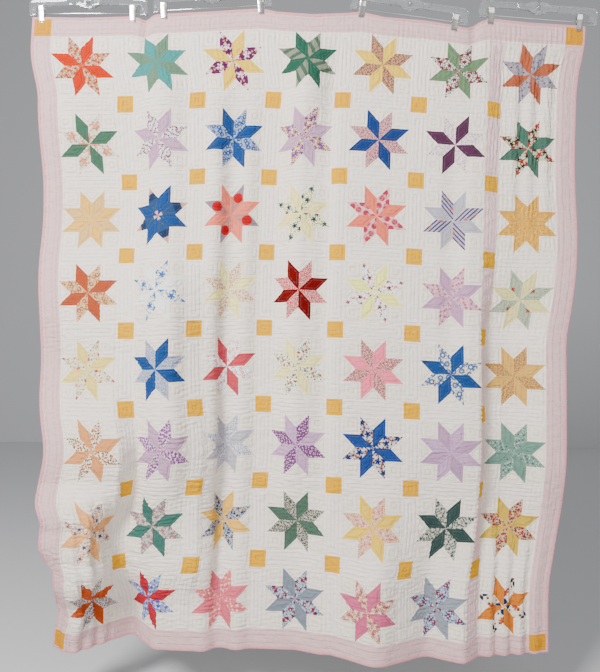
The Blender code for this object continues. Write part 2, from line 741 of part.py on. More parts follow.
bar = build_bar()
half_wire = BAR_WIDTH / 2.0 - BAR_END_WIDTH + WIRE_INSERT
wire = rod_mesh("wire", WIRE_RADIUS, (-half_wire, 0, 0), (half_wire, 0, 0), 8)
wire.shade_smooth()
wire.set_sharp_from_angle(angle=math.radians(50.0))
front_jaw = jaw_mesh(-1)
back_jaw = jaw_mesh(1)
spring = spring_mesh()

for name, offset, place, half_span, tilt in PLACED:
    place = Matrix.Translation(-ORIGIN) @ place
    add_object(name + "_body", bar, clear, place)
    add_object(name + "_wire", wire, steel, place)
    hook = hook_mesh(-place.translation.z / math.cos(tilt))
    hook.shade_smooth()
    add_object(name + "_hook", hook, steel, place)
    for label, along in (("left", -half_span - offset), ("right", half_span - offset)):
        clip = place @ Matrix.Translation((along, 0.0, 0.0))
        add_object(name + "_" + label + "_front_jaw", front_jaw, nickel, clip)
        add_object(name + "_" + label + "_back_jaw", back_jaw, nickel, clip)
        add_object(name + "_" + label + "_spring", spring, nickel, clip)

for leftover in list(cutters.objects):
    leftover.hide_set(True)
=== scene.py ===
# The star quilt blanket, hanging by its top edge from four clear clip hangers.
# Metres, +Z up, +X to the viewer's right; the pieced face looks towards -Y.

import math

import bmesh
import bpy
import numpy as np
from mathutils import Matrix, Vector


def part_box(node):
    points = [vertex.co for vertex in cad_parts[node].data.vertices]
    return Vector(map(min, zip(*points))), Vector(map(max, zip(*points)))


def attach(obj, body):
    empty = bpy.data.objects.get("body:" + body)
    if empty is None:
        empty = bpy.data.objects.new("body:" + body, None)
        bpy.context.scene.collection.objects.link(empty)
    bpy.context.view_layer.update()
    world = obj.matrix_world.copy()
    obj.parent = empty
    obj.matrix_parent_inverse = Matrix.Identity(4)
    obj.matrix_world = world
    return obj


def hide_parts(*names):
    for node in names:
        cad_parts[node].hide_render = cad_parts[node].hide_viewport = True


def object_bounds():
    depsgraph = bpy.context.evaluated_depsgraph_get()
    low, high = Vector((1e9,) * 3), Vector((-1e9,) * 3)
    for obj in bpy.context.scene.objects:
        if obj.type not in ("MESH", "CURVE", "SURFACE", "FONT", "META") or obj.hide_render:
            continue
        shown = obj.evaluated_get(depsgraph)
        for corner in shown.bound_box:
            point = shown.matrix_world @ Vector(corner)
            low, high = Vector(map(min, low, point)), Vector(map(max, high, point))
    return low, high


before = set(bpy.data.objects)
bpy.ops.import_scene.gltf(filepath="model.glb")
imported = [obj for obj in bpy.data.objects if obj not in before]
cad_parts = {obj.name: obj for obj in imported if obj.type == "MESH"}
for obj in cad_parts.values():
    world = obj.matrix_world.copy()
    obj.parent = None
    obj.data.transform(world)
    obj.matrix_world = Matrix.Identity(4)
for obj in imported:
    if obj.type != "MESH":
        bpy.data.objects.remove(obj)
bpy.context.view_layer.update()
bpy.ops.object.select_all(action="DESELECT")


# How the quilt hangs
# The cloth hangs in soft upright folds between its eight clips. Flat, it is 1.67 by 1.90 m;
# every seam, print and stitch below is laid out on the flat quilt and then hung by these tables.

BLOCK = 0.180
SASH = 0.0486
BORDER = 0.0508
BINDING = 0.009
COLUMNS = 7
ROWS = 8
EDGE = BORDER + BINDING
PITCH = BLOCK + SASH
WIDTH = COLUMNS * BLOCK + (COLUMNS - 1) * SASH + 2 * EDGE
LENGTH = ROWS * BLOCK + (ROWS - 1) * SASH + 2 * EDGE
LOFT_HALF = 0.0018
RIM_HALF = 0.0015

# Walls of cloth that turn out of the quilt's plane: name, across, half width,
# turn (degrees, + comes forward), starts, full, fades, gone. The last four run down from the top.
HEM = 9.0
WALLS = (
    ("left column forward", 0.130, 0.075, 18, 0.70, 1.10, 1.25, 1.50),
    ("left edge forward", 0.040, 0.056, 38, 1.54, 1.66, HEM, HEM),
    ("left wall, upper", 0.262, 0.042, -60, 1.00, 1.34, 1.40, 1.52),
    ("left wall, middle", 0.204, 0.086, -64, 1.38, 1.50, 1.62, 1.76),
    ("left wall, star", 0.122, 0.050, -22, 1.64, 1.74, 1.78, 1.88),
    ("left wall, lower", 0.185, 0.135, -45, 1.60, 1.74, HEM, HEM),
    ("second lobe, upper", 0.360, 0.100, 18, 0.10, 0.60, 1.40, 1.75),
    ("second column slope", 0.500, 0.100, -30, 0.60, 0.95, 1.25, 1.55),
    ("second lobe, lower", 0.347, 0.084, 49, 1.54, 1.80, HEM, HEM),
    ("second lobe back", 0.545, 0.050, -56, 1.00, 1.60, 1.62, 1.78),
    ("second lobe back, lower", 0.545, 0.050, -16, 1.62, 1.78, HEM, HEM),
    ("second column back", 0.610, 0.090, -15, 0.05, 0.50, 1.20, 1.60),
    ("third column forward", 0.780, 0.080, -1, 0.05, 0.50, 1.40, 1.70),
    ("third column slope", 0.900, 0.060, 30, 0.05, 0.50, 1.40, 1.70),
    ("third lobe forward", 0.880, 0.055, 19, 1.35, 1.65, HEM, HEM),
    ("third lobe slope", 1.010, 0.090, 34, 1.40, 1.70, HEM, HEM),
    ("third ridge back", 1.183, 0.100, -31, 1.25, 1.75, HEM, HEM),
    ("sixth column forward", 1.290, 0.070, 9, 0.10, 0.60, 1.30, 1.60),
    ("fourth lobe forward", 1.320, 0.060, 26, 1.45, 1.80, HEM, HEM),
    ("long wall, top", 1.407, 0.035, -24, 0.03, 0.14, 0.60, 0.90),
    ("long wall, middle", 1.407, 0.038, -64, 0.60, 1.00, 1.50, 1.70),
    ("long wall, bottom", 1.407, 0.042, -40, 1.50, 1.70, HEM, HEM),
    ("right edge forward", 1.560, 0.080, 23, 0.50, 1.00, 1.40, 1.70),
)
# Soft swells and fine pleats: name, across, half width, pitch, turn, starts, full, fades, gone
WAVES = (
    ("gap of the left hangers", 0.345, 0.034, 0.052, 28, -1.0, -0.5, 0.02, 0.30),
    ("gap of the right hangers", 1.335, 0.036, 0.058, 26, -1.0, -0.5, 0.02, 0.30),
    ("second column swells", 0.378, 0.125, 0.200, -23, 0.03, 0.25, 1.40, 1.70),
    ("third column swells", 0.607, 0.120, 0.110, 31, 0.10, 0.50, HEM, HEM),
    ("fourth column swells", 0.836, 0.120, 0.200, -45, 0.03, 0.25, 1.30, 1.60),
    ("sixth column swells", 1.293, 0.080, 0.110, 18, 0.30, 0.50, 0.90, 1.10),
    ("right pleats, upper", 1.550, 0.110, 0.052, 29, 0.03, 0.22, 0.35, 0.75),
    ("right pleats, lower", 1.550, 0.125, 0.052, 45, 1.35, 1.70, HEM, HEM),
    ("left column pleats", 0.120, 0.120, 0.046, 32, 1.30, 1.60, HEM, HEM),
)
# The top edge between the clips: along from the left corner, drop below its highest point
TOP_LINE = (
    (0.000, 0.035), (0.028, 0.034), (0.150, 0.035), (0.303, 0.029), (0.339, 0.039),
    (0.375, 0.022), (0.400, 0.020), (0.530, 0.012), (0.691, 0.000), (0.742, 0.010),
    (0.848, 0.016), (0.954, 0.011), (0.994, 0.007), (1.060, 0.022), (1.188, 0.032),
    (1.273, 0.045), (1.312, 0.054), (1.348, 0.036), (1.385, 0.023), (1.506, 0.035),
    (1.651, 0.042), (1.671, 0.045),
)
BROAD_LINE = (
    (0.00, 0.034), (0.35, 0.026), (0.69, 0.006), (1.00, 0.014), (1.30, 0.034), (1.671, 0.042),
)
BROAD_MEAN = 0.024
BROAD_LOSS = 0.25
LOCAL_REACH = 0.22
HEM_RISE = (
    (0.00, 0.022), (0.30, 0.020), (0.55, 0.004), (0.90, 0.000), (1.10, 0.008), (1.40, 0.010),
    (1.671, 0.030),
)
HEM_RISE_FROM = 1.35
STILL_LINE = 0.950
STILL_X = 0.1122
DRIFT = -0.018
DRIFT_DONE = 0.95
# The clips hold the top edge a little to the right of where the cloth below would hang
UPPER_SHIFT = 0.010
UPPER_REACH = 0.45
# Where the second hook's seat stands in the tables' own coordinates
SEAT = Vector((-0.2903, 0.0, 0.1086))

FINE_STEP = 0.001
FINE = np.arange(0.0, WIDTH + FINE_STEP, FINE_STEP)
SMOOTHING = 0.026


def smooth_line(table):
    """A table's line on the fine steps, with its corners eased."""
    rough = np.interp(FINE, [row[0] for row in table], [row[1] for row in table])
    half = int(SMOOTHING / FINE_STEP / 2)
    weights = np.hanning(2 * half + 3)
    padded = np.pad(rough, half + 1, mode="edge")
    return np.convolve(padded, weights / weights.sum(), mode="valid")


TOP_DROP = smooth_line(TOP_LINE)
BROAD_DROP = smooth_line(BROAD_LINE)
HEM_LIFT = smooth_line(HEM_RISE)


def ramp(value, start, end):
    """0 before start, 1 after end, eased between."""
    t = np.clip((value - start) / (end - start), 0.0, 1.0)
    return t * t * (3.0 - 2.0 * t)


def share(down, starts, full, fades, gone):
    """How strongly a fold shows at this distance below the top edge."""
    strength = ramp(down, starts, full)
    if fades < HEM:
        strength *= 1.0 - ramp(down, fades, gone)
    return strength


def window(offset):
    """1 over the middle half of a fold, easing to 0 at its sides."""
    t = np.clip((np.abs(offset) - 0.5) / 0.5, 0.0, 1.0)
    return 0.5 * (1.0 + np.cos(np.pi * t))


def hang_line(down):
    """The cloth's x, y and z on the fine steps at one level."""
    turn = np.zeros_like(FINE)
    for _, across, half, degrees, starts, full, fades, gone in WALLS:
        strength = share(down, starts, full, fades, gone)
        turn += math.radians(degrees) * strength * window((FINE - across) / half)
    for _, across, half, pitch, degrees, starts, full, fades, gone in WAVES:
        strength = share(down, starts, full, fades, gone)
        wave = np.sin(2.0 * np.pi * (FINE - across) / pitch)
        turn += math.radians(degrees) * strength * window((FINE - across) / half) * wave
    middle = 0.5 * (turn[1:] + turn[:-1])
    x = np.concatenate(([0.0], np.cumsum(np.cos(middle)) * FINE_STEP))
    depth = np.concatenate(([0.0], np.cumsum(np.sin(middle)) * FINE_STEP))
    depth -= np.interp(STILL_LINE, FINE, depth)
    drift = DRIFT * min(down / DRIFT_DONE, 1.0) + UPPER_SHIFT * (1.0 - ramp(down, 0.0, UPPER_REACH))
    x += STILL_X + drift - np.interp(STILL_LINE, FINE, x)
    local = max(1.0 - down / LOCAL_REACH, 0.0) ** 1.5
    broad = BROAD_MEAN + (BROAD_DROP - BROAD_MEAN) * (1.0 - BROAD_LOSS * down)
    lift = HEM_LIFT * max((down - HEM_RISE_FROM) / (LENGTH - HEM_RISE_FROM), 0.0) ** 1.6
    z = lift - down - (TOP_DROP - BROAD_DROP) * local - broad
    return np.stack((x - SEAT.x, -depth - SEAT.y, z - SEAT.z), axis=1)


LEVEL_STEP = 0.004
LEVELS = np.arange(0.0, LENGTH + LEVEL_STEP, LEVEL_STEP)
HUNG = np.array([hang_line(min(down, LENGTH)) for down in LEVELS])
ALONG_U = np.gradient(HUNG, axis=1)
ALONG_V = np.gradient(HUNG, axis=0)
FACING = np.cross(ALONG_V, ALONG_U)
FACING /= np.linalg.norm(FACING, axis=2, keepdims=True)


def blended(table, u, v):
    """A table of the levels and fine steps, read between its entries."""
    across = np.clip(u / FINE_STEP, 0.0, len(FINE) - 1.001)
    down = np.clip(v / LEVEL_STEP, 0.0, len(LEVELS) - 1.001)
    column = across.astype(int)
    row = down.astype(int)
    s = (across - column)[:, None]
    t = (down - row)[:, None]
    upper = table[row, column] * (1.0 - s) + table[row, column + 1] * s
    lower = table[row + 1, column] * (1.0 - s) + table[row + 1, column + 1] * s
    return upper * (1.0 - t) + lower * t


def hang(u, v, off):
    """Where places on the flat quilt are, once it hangs, this far in front of its middle."""
    facing = blended(FACING, u, v)
    facing /= np.linalg.norm(facing, axis=1, keepdims=True)
    return blended(HUNG, u, v) + facing * np.asarray(off).reshape(-1, 1)


# Its quilted surface
# Batting fills it, so every patch stands a little proud between its seams. Hand quilting runs
# a quarter inch inside each seam and again in echoes, and washing has crinkled the cotton.

PUFF = 0.0013
PUFF_EDGE = 0.0035
STITCH_INSET = 0.0065
STITCH_ECHO = 0.0125
STITCH_DIP = 0.0008
STITCH_WIDTH = 0.0024
CRINKLE = 0.00120
CRINKLE_WAVES = 70
CRINKLE_PITCH = 0.0115
CRINKLE_SIZE = 1.2


def crinkle_waves(seed, pitch, length):
    """Random long ripples: (across, down, phase) of each, ridges running across the quilt."""
    draw = np.random.default_rng(seed)
    down = 2.0 * np.pi / (pitch * draw.uniform(0.72, 1.55, CRINKLE_WAVES))
    across = 2.0 * np.pi / length * draw.normal(0.0, 1.0, CRINKLE_WAVES)
    return across, down, draw.uniform(0.0, 2.0 * np.pi, CRINKLE_WAVES)


def ripple(u, v, waves):
    """The sum of the ripples at each place, about -1 to 1."""
    total = np.zeros_like(u)
    for across, down, phase in zip(*waves):
        total += np.cos(across * u + down * v + phase)
    return total / math.sqrt(CRINKLE_WAVES) * CRINKLE_SIZE


LEVEL_RIPPLES = crinkle_waves(11, CRINKLE_PITCH, 0.075)
UPRIGHT_RIPPLES = crinkle_waves(12, CRINKLE_PITCH * 0.9, 0.110)
COCKLES = crinkle_waves(13, 0.034, 0.060)


FINE_SHARE = 0.75
COCKLE_SHARE = 0.55
LONG_WALL_FROM = 1.38
LONG_WALL_TO = 1.46


def crinkles(u, v):
    """How far washing and hanging have drawn the face up or down."""
    past_long_wall = ramp(u, LONG_WALL_FROM, LONG_WALL_TO)
    left_edge = 1.0 - ramp(u, 0.20, 0.30)
    upright = 0.25 + 0.65 * (1.0 - ramp(v, 0.15, 0.60)) + 0.85 * past_long_wall
    upright += 0.9 * ramp(v, 1.30, 1.60) * left_edge
    level = 0.38 + 0.95 * ramp(v, 0.35, 1.25)
    level *= 1.0 - 0.55 * past_long_wall
    fine = level * ripple(u, v, LEVEL_RIPPLES) + upright * ripple(v, u, UPRIGHT_RIPPLES)
    return CRINKLE * (FINE_SHARE * fine + COCKLE_SHARE * ripple(u, v, COCKLES))


def echo(seam):
    """How near each place is to a quilted line, 1 on it; seam is the distance to the patch's seam."""
    off = np.abs((seam - STITCH_INSET + STITCH_ECHO / 2.0) % STITCH_ECHO - STITCH_ECHO / 2.0)
    near = np.exp(-((off / STITCH_WIDTH) ** 2))
    return np.where(seam > STITCH_INSET / 2.0, near, 0.0)


def rim_distance(u, v):
    return np.minimum(np.minimum(u, WIDTH - u), np.minimum(v, LENGTH - v))


def free_of_rim(u, v):
    """0 under the binding, 1 where the cloth is free to stand."""
    return ramp(rim_distance(u, v), 0.004, 0.016)


def face_height(u, v, seam):
    """How far the quilted face stands off the quilt's middle."""
    puffed = PUFF * (1.0 - np.exp(-seam / PUFF_EDGE)) - STITCH_DIP * echo(seam)
    return RIM_HALF + free_of_rim(u, v) * (LOFT_HALF - RIM_HALF + puffed + crinkles(u, v))


# The scraps
# Every star takes two cottons from the scrap bag, most often a plain and a small print.
# Colours are as the eye sees them (red, green, blue to 255). A print is a ground and its
# marks: shape, size of the repeat in mm, share of it that a mark fills, colour.

PLAIN = {
    "ground": (246, 234, 220), "sash": (246, 236, 226), "pink sash": (241, 205, 206),
    "border pink": (224, 187, 186), "gold": (228, 166, 10), "corner yellow": (214, 146, 10),
    "backing": (224, 215, 205), "binding pink": (224, 158, 166),
    "orange red": (196, 44, 4), "sage": (95, 126, 103), "turquoise": (62, 138, 133),
    "lemon": (237, 196, 70), "emerald": (38, 86, 68), "apple green": (101, 128, 93),
    "orange": (169, 87, 57), "soft green": (62, 99, 78), "lilac": (192, 153, 180),
    "royal blue": (27, 67, 124), "deep blue": (26, 55, 112), "plum": (78, 40, 67),
    "teal green": (65, 100, 85), "straw": (236, 182, 90), "coral": (235, 122, 99),
    "pale yellow": (246, 229, 157), "salmon": (231, 113, 88), "misty blue": (177, 173, 182),
    "rust": (169, 74, 42), "white": (246, 246, 242), "cream yellow": (246, 234, 163),
    "crimson": (106, 3, 5), "butter": (246, 245, 143), "lavender": (190, 146, 177),
    "pale lime": (222, 212, 147), "primrose": (235, 210, 118), "poppy red": (193, 68, 78),
    "pink": (246, 124, 144), "old gold": (216, 168, 83), "orange cream": (220, 149, 92),
    "orchid": (198, 158, 192), "cobalt": (31, 64, 129), "heather": (177, 140, 170),
    "sea green": (105, 140, 125), "peach": (238, 172, 112), "jade": (58, 105, 94),
    "golden yellow": (236, 185, 84), "forest green": (71, 97, 81), "mustard": (202, 170, 62),
    "bottle green": (49, 69, 66), "burnt orange": (190, 78, 30), "scarlet": (180, 34, 50),
    "coral pink": (221, 106, 120), "slate blue": (122, 132, 144), "rose pink": (208, 98, 132),
    "slate": (141, 147, 158), "tangerine": (206, 118, 36), "grey lilac": (182, 178, 185),
}
PRINTED = {
    "brown floral": ((218, 186, 158), (
        ("flower", 13, 0.46, (172, 72, 24)), ("dot", 6, 0.28, (208, 104, 52)),
        ("leaf", 9, 0.36, (112, 50, 22)))),
    "purple posy": ((88, 24, 72), (
        ("flower", 27, 0.40, (236, 218, 226)), ("leaf", 19, 0.26, (226, 200, 210)),
        ("dot", 17, 0.20, (214, 120, 84)))),
    "grey green stripe": ((129, 135, 115), (("band", 34, 0.42, (70, 93, 76)),)),
    "rust sprig": ((179, 140, 108), (
        ("dot", 5.5, 0.32, (111, 41, 34)), ("leaf", 8, 0.32, (205, 173, 137)),
        ("dot", 9, 0.22, (169, 86, 69)))),
    "red rose floral": ((226, 222, 210), (
        ("flower", 20, 0.44, (150, 40, 52)), ("leaf", 11, 0.40, (30, 84, 56)),
        ("dot", 8, 0.26, (60, 40, 60)))),
    "navy dot sky": ((156, 145, 154), (
        ("flower", 14, 0.30, (51, 65, 98)), ("dot", 7, 0.20, (181, 167, 167)))),
    "peach rose": ((236, 222, 208), (
        ("flower", 34, 0.44, (226, 140, 104)), ("leaf", 16, 0.32, (112, 128, 92)),
        ("dot", 9, 0.20, (214, 150, 120)))),
    "plum sprig": ((236, 226, 228), (
        ("leaf", 13, 0.34, (74, 22, 50)), ("dot", 9, 0.26, (96, 34, 62)),
        ("flower", 15, 0.24, (196, 110, 140)))),
    "blue vine": ((158, 171, 193), (("leaf", 9, 0.46, (44, 86, 149)), ("ring", 16, 0.38, (18, 61, 135)))),
    "violet posy": ((227, 200, 199), (
        ("flower", 18, 0.44, (112, 57, 134)), ("dot", 11, 0.30, (230, 159, 74)),
        ("dot", 8, 0.24, (57, 25, 87)))),
    "pink pebble": ((213, 170, 165), (("dot", 4.5, 0.34, (168, 79, 89)), ("dot", 8, 0.18, (81, 52, 98)))),
    "faint sprig": ((238, 222, 220), (
        ("leaf", 12, 0.26, (176, 130, 140)), ("dot", 9, 0.18, (168, 122, 132)))),
    "red and black floral": ((208, 199, 168), (
        ("flower", 26, 0.40, (167, 12, 11)), ("flower", 22, 0.34, (8, 8, 15)),
        ("leaf", 14, 0.30, (35, 99, 70)))),
    "straw haze": ((221, 186, 122), (
        ("dot", 5, 0.34, (232, 168, 75)), ("leaf", 10, 0.26, (201, 183, 134)))),
    "blue patches": ((42, 71, 112), (
        ("tip", 0, 0.052, (31, 49, 84)), ("tip", 0, 0.074, (200, 150, 132)),
        ("heart", 0, 0.014, (236, 173, 146)))),
    "coral discs": ((189, 121, 114), (
        ("tip", 0, 0.066, (143, 122, 136)), ("spot", 53, 0.015, (174, 8, 19)))),
    "navy posy": ((248, 246, 188), (
        ("flower", 26, 0.34, (15, 38, 78)), ("leaf", 11, 0.34, (69, 93, 69)),
        ("dot", 7, 0.18, (37, 52, 63)))),
    "raspberry discs": ((235, 174, 177), (
        ("disc", 22, 0.40, (172, 48, 67)), ("ring", 22, 0.26, (208, 106, 116)))),
    "navy ribbon": ((190, 171, 180), (
        ("stripe", 27, 0.40, (15, 43, 103)), ("disc", 40, 0.15, (194, 92, 63)))),
    "gold fern": ((219, 161, 64), (("leaf", 13, 0.34, (237, 190, 97)), ("dot", 6, 0.22, (200, 139, 45)))),
    "tan rings": ((219, 174, 127), (
        ("ring", 17, 0.36, (164, 83, 45)), ("leaf", 9, 0.32, (112, 119, 82)),
        ("dot", 7, 0.22, (248, 188, 138)))),
    "blue bouquet": ((246, 242, 232), (
        ("flower", 30, 0.36, (36, 92, 166)), ("leaf", 13, 0.32, (70, 112, 128)),
        ("dot", 9, 0.20, (60, 116, 180)))),
    "tan pebble": ((248, 224, 193), (("dot", 5, 0.30, (203, 153, 125)), ("dot", 9, 0.20, (169, 119, 95)))),
    "red lace": ((231, 170, 167), (("leaf", 6, 0.46, (179, 8, 18)), ("dot", 4.5, 0.30, (171, 8, 9)))),
    "garden sprigs": ((248, 248, 242), (
        ("flower", 28, 0.26, (18, 38, 71)), ("leaf", 14, 0.28, (34, 76, 54)),
        ("dot", 15, 0.20, (230, 73, 71)))),
    "rose lavender": ((218, 175, 191), (
        ("flower", 13, 0.36, (190, 79, 103)), ("leaf", 9, 0.26, (134, 95, 141)),
        ("dot", 6, 0.18, (232, 197, 192)))),
    "lime meadow": ((166, 175, 152), (
        ("leaf", 8, 0.40, (111, 146, 125)), ("flower", 38, 0.22, (156, 19, 26)),
        ("dot", 6, 0.20, (197, 191, 145)))),
    "red and blue sprigs": ((242, 222, 182), (
        ("leaf", 10, 0.26, (146, 159, 153)), ("flower", 30, 0.20, (189, 8, 8)),
        ("dot", 12, 0.18, (67, 113, 148)))),
    "blue grey meadow": ((170, 184, 208), (
        ("leaf", 8, 0.36, (117, 140, 177)), ("dot", 12, 0.22, (211, 159, 135)),
        ("dot", 7, 0.18, (60, 82, 135)))),
    "red scrolls": ((248, 248, 247), (
        ("leaf", 10, 0.24, (212, 41, 52)), ("ring", 18, 0.24, (233, 90, 90)))),
    "meadow posy": ((248, 248, 209), (
        ("flower", 16, 0.30, (200, 48, 46)), ("leaf", 10, 0.30, (22, 59, 60)),
        ("dot", 9, 0.22, (35, 71, 124)))),
    "pink grey pebble": ((210, 148, 145), (
        ("dot", 5, 0.34, (129, 68, 65)), ("dot", 8, 0.22, (243, 182, 174)))),
    "china blue floral": ((227, 221, 208), (
        ("ring", 20, 0.40, (38, 89, 159)), ("leaf", 11, 0.34, (71, 111, 162)),
        ("dot", 9, 0.18, (92, 86, 65)))),
    "gold brown pebble": ((201, 155, 88), (
        ("dot", 5.5, 0.32, (154, 101, 61)), ("leaf", 10, 0.24, (219, 180, 109)))),
    "navy orange floral": ((248, 229, 201), (
        ("dot", 8, 0.28, (22, 41, 66)), ("flower", 15, 0.30, (227, 108, 39)),
        ("leaf", 9, 0.26, (104, 111, 80)))),
    "purple confetti": ((238, 206, 216), (
        ("dot", 6.5, 0.42, (130, 69, 139)), ("leaf", 9, 0.36, (104, 48, 121)))),
    "grey sprig": ((212, 209, 217), (("leaf", 9, 0.28, (136, 133, 154)), ("dot", 7, 0.18, (102, 95, 128)))),
    "purple white dots": ((120, 61, 120), (("dot", 6.5, 0.22, (238, 222, 221)),)),
    "cobalt posies": ((214, 208, 206), (
        ("flower", 26, 0.42, (16, 44, 108)), ("flower", 22, 0.28, (170, 78, 60)),
        ("leaf", 13, 0.30, (20, 34, 70)), ("dot", 11, 0.22, (22, 30, 56)))),
    "heather print": ((196, 157, 191), (("leaf", 12, 0.28, (176, 135, 174)),)),
    "green fern": ((117, 150, 135), (
        ("leaf", 10, 0.32, (214, 207, 200)), ("dot", 14, 0.20, (60, 101, 88)))),
    "navy speck peach": ((240, 226, 206), (
        ("flower", 24, 0.30, (44, 54, 116)), ("dot", 8, 0.24, (226, 134, 84)),
        ("leaf", 10, 0.24, (92, 78, 78)))),
    "rose grey floral": ((206, 194, 190), (
        ("flower", 20, 0.36, (178, 110, 118)), ("leaf", 12, 0.36, (54, 98, 54)),
        ("dot", 6, 0.24, (140, 128, 124)))),
    "navy meadow": ((178, 190, 200), (
        ("leaf", 10, 0.48, (34, 66, 124)), ("flower", 15, 0.38, (22, 46, 96)),
        ("dot", 9, 0.24, (196, 140, 58)))),
    "black sprig": ((178, 176, 160), (("leaf", 8, 0.44, (42, 29, 28)), ("dot", 6, 0.28, (12, 16, 24)))),
    "pink meadow": ((235, 199, 172), (
        ("flower", 16, 0.32, (219, 126, 110)), ("leaf", 10, 0.28, (184, 146, 105)),
        ("dot", 7, 0.20, (206, 91, 88)))),
    "black green sprig": ((199, 191, 181), (
        ("leaf", 12, 0.38, (8, 25, 22)), ("dot", 9, 0.24, (12, 100, 57)), ("ring", 13, 0.24, (53, 54, 57)))),
    "red orange meadow": ((205, 176, 130), (
        ("flower", 16, 0.40, (179, 31, 31)), ("dot", 9, 0.28, (32, 47, 98)),
        ("leaf", 11, 0.28, (200, 99, 39)))),
    "grey meadow": ((224, 216, 210), (
        ("leaf", 9, 0.38, (86, 86, 100)), ("dot", 8, 0.26, (168, 108, 98)), ("dot", 6, 0.24, (78, 80, 94)))),
    "blue daisy": ((132, 166, 212), (
        ("flower", 15, 0.46, (24, 82, 172)), ("dot", 12, 0.24, (226, 226, 226)),
        ("dot", 9, 0.18, (204, 80, 84)))),
    "pink white dots": ((228, 114, 120), (
        ("dot", 13, 0.24, (248, 202, 197)), ("dot", 9, 0.14, (248, 191, 187)))),
    "navy red floral": ((168, 176, 194), (
        ("flower", 20, 0.42, (128, 22, 48)), ("leaf", 12, 0.40, (34, 46, 86)),
        ("dot", 9, 0.22, (214, 210, 214)))),
    "rust rose floral": ((238, 214, 198), (
        ("flower", 17, 0.38, (186, 74, 70)), ("ring", 13, 0.30, (170, 92, 60)),
        ("dot", 7, 0.24, (216, 132, 122)))),
    "slate red floral": ((146, 166, 192), (
        ("flower", 24, 0.44, (126, 28, 60)), ("leaf", 13, 0.38, (28, 48, 86)),
        ("dot", 9, 0.22, (212, 212, 216)))),
    "leaf and bud": ((240, 230, 210), (
        ("leaf", 46, 0.46, (16, 42, 80)), ("flower", 40, 0.30, (208, 84, 28)),
        ("dot", 22, 0.16, (120, 46, 26)))),
}
# The layout, a line for each row of seven stars. The first cotton of a pair is in the points
# at half past twelve, half past three and so on, the second in the points just before them.
STARS = (
    (("orange red", "brown floral"), ("sage", "turquoise"), ("lemon", "purple posy"),
     ("grey green stripe", "emerald"), ("lemon", "rust sprig"), ("red rose floral", "apple green"),
     ("navy dot sky", "orange")),
    (("peach rose", "soft green"), ("lilac", "plum sprig"), ("blue vine", "royal blue"),
     ("violet posy", "lilac"), ("pink pebble", "deep blue"), ("plum", "faint sprig"),
     ("red and black floral", "teal green")),
    (("straw haze", "straw"), ("royal blue", "blue patches"), ("coral discs", "coral"),
     ("navy posy", "pale yellow"), ("raspberry discs", "salmon"), ("misty blue", "navy ribbon"),
     ("gold fern", "gold fern")),
    (("tan rings", "rust"), ("blue bouquet", "white"), ("tan pebble", "cream yellow"),
     ("red lace", "crimson"), ("butter", "garden sprigs"), ("rose lavender", "lavender"),
     ("pale lime", "lime meadow")),
    (("red and blue sprigs", "primrose"), ("royal blue", "blue grey meadow"), ("red scrolls", "poppy red"),
     ("meadow posy", "cream yellow"), ("pink", "pink grey pebble"), ("royal blue", "china blue floral"),
     ("gold brown pebble", "old gold")),
    (("navy orange floral", "orange cream"), ("purple confetti", "lilac"), ("grey sprig", "grey lilac"),
     ("purple white dots", "orchid"), ("cobalt", "cobalt posies"), ("heather print", "heather"),
     ("green fern", "sea green")),
    (("navy speck peach", "peach"), ("rose grey floral", "jade"), ("golden yellow", "navy meadow"),
     ("forest green", "black sprig"), ("pink meadow", "lemon"), ("bottle green", "black green sprig"),
     ("red orange meadow", "mustard")),
    (("grey meadow", "burnt orange"), ("blue daisy", "scarlet"), ("pink white dots", "coral pink"),
     ("navy red floral", "slate blue"), ("rose pink", "rust rose floral"), ("slate red floral", "slate"),
     ("leaf and bud", "tangerine")),
)


def as_light(colour):
    """An eye colour, 0 to 255, as the amounts of light that a shader takes."""
    values = [c / 255.0 for c in colour]
    linear = [v / 12.92 if v <= 0.04045 else ((v + 0.055) / 1.055) ** 2.4 for v in values]
    return (*linear, 1.0)


def add_node(tree, kind, inputs, **settings):
    """A shader node; its inputs, by name or number, take values or other nodes' outputs."""
    node = tree.nodes.new("ShaderNode" + kind)
    for key, value in settings.items():
        setattr(node, key, value)
    for key, value in inputs.items():
        if isinstance(value, bpy.types.NodeSocket):
            tree.links.new(value, node.inputs[key])
        else:
            node.inputs[key].default_value = value
    return node


def math_node(tree, operation, *values):
    """A Math node fed by sockets or numbers."""
    return add_node(tree, "Math", dict(enumerate(values)), operation=operation).outputs["Value"]


def laid_over(tree, below, above, mask):
    """One colour laid over another where the mask is 1."""
    return add_node(tree, "Mix", {"Factor": mask, 6: below, 7: above}, data_type="RGBA").outputs[2]


def edge_mask(tree, distance, size, soft):
    """1 where the distance is under the size, 0 beyond, with a soft edge."""
    gap = math_node(tree, "SUBTRACT", distance, size)
    return add_node(tree, "MapRange", {"Value": gap, "From Min": soft, "From Max": -soft}).outputs["Result"]


# How soft the marks' edges are: in metres along a point, in repeats elsewhere
TIP_SOFT = 0.0006
SPOT_SOFT = 0.0008
STRIPE_SOFT = 0.02
RING_SOFT = 0.04
MARK_SOFT = 0.05
# A ring's middle line and half its width, as shares of its fill
RING_LINE = 0.75
RING_HALF = 0.28
# How far slanted repeats lean, how loosely discs and other marks are strewn, and the number of
# petals with how deep they are cut
SLANTS = {"band": 0.9, "stripe": 2.6}
LOOSENESS = {"disc": 0.15}
LOOSE = 0.75
PETALS = {"flower": (5.0, 0.26), "leaf": (2.0, 0.55)}


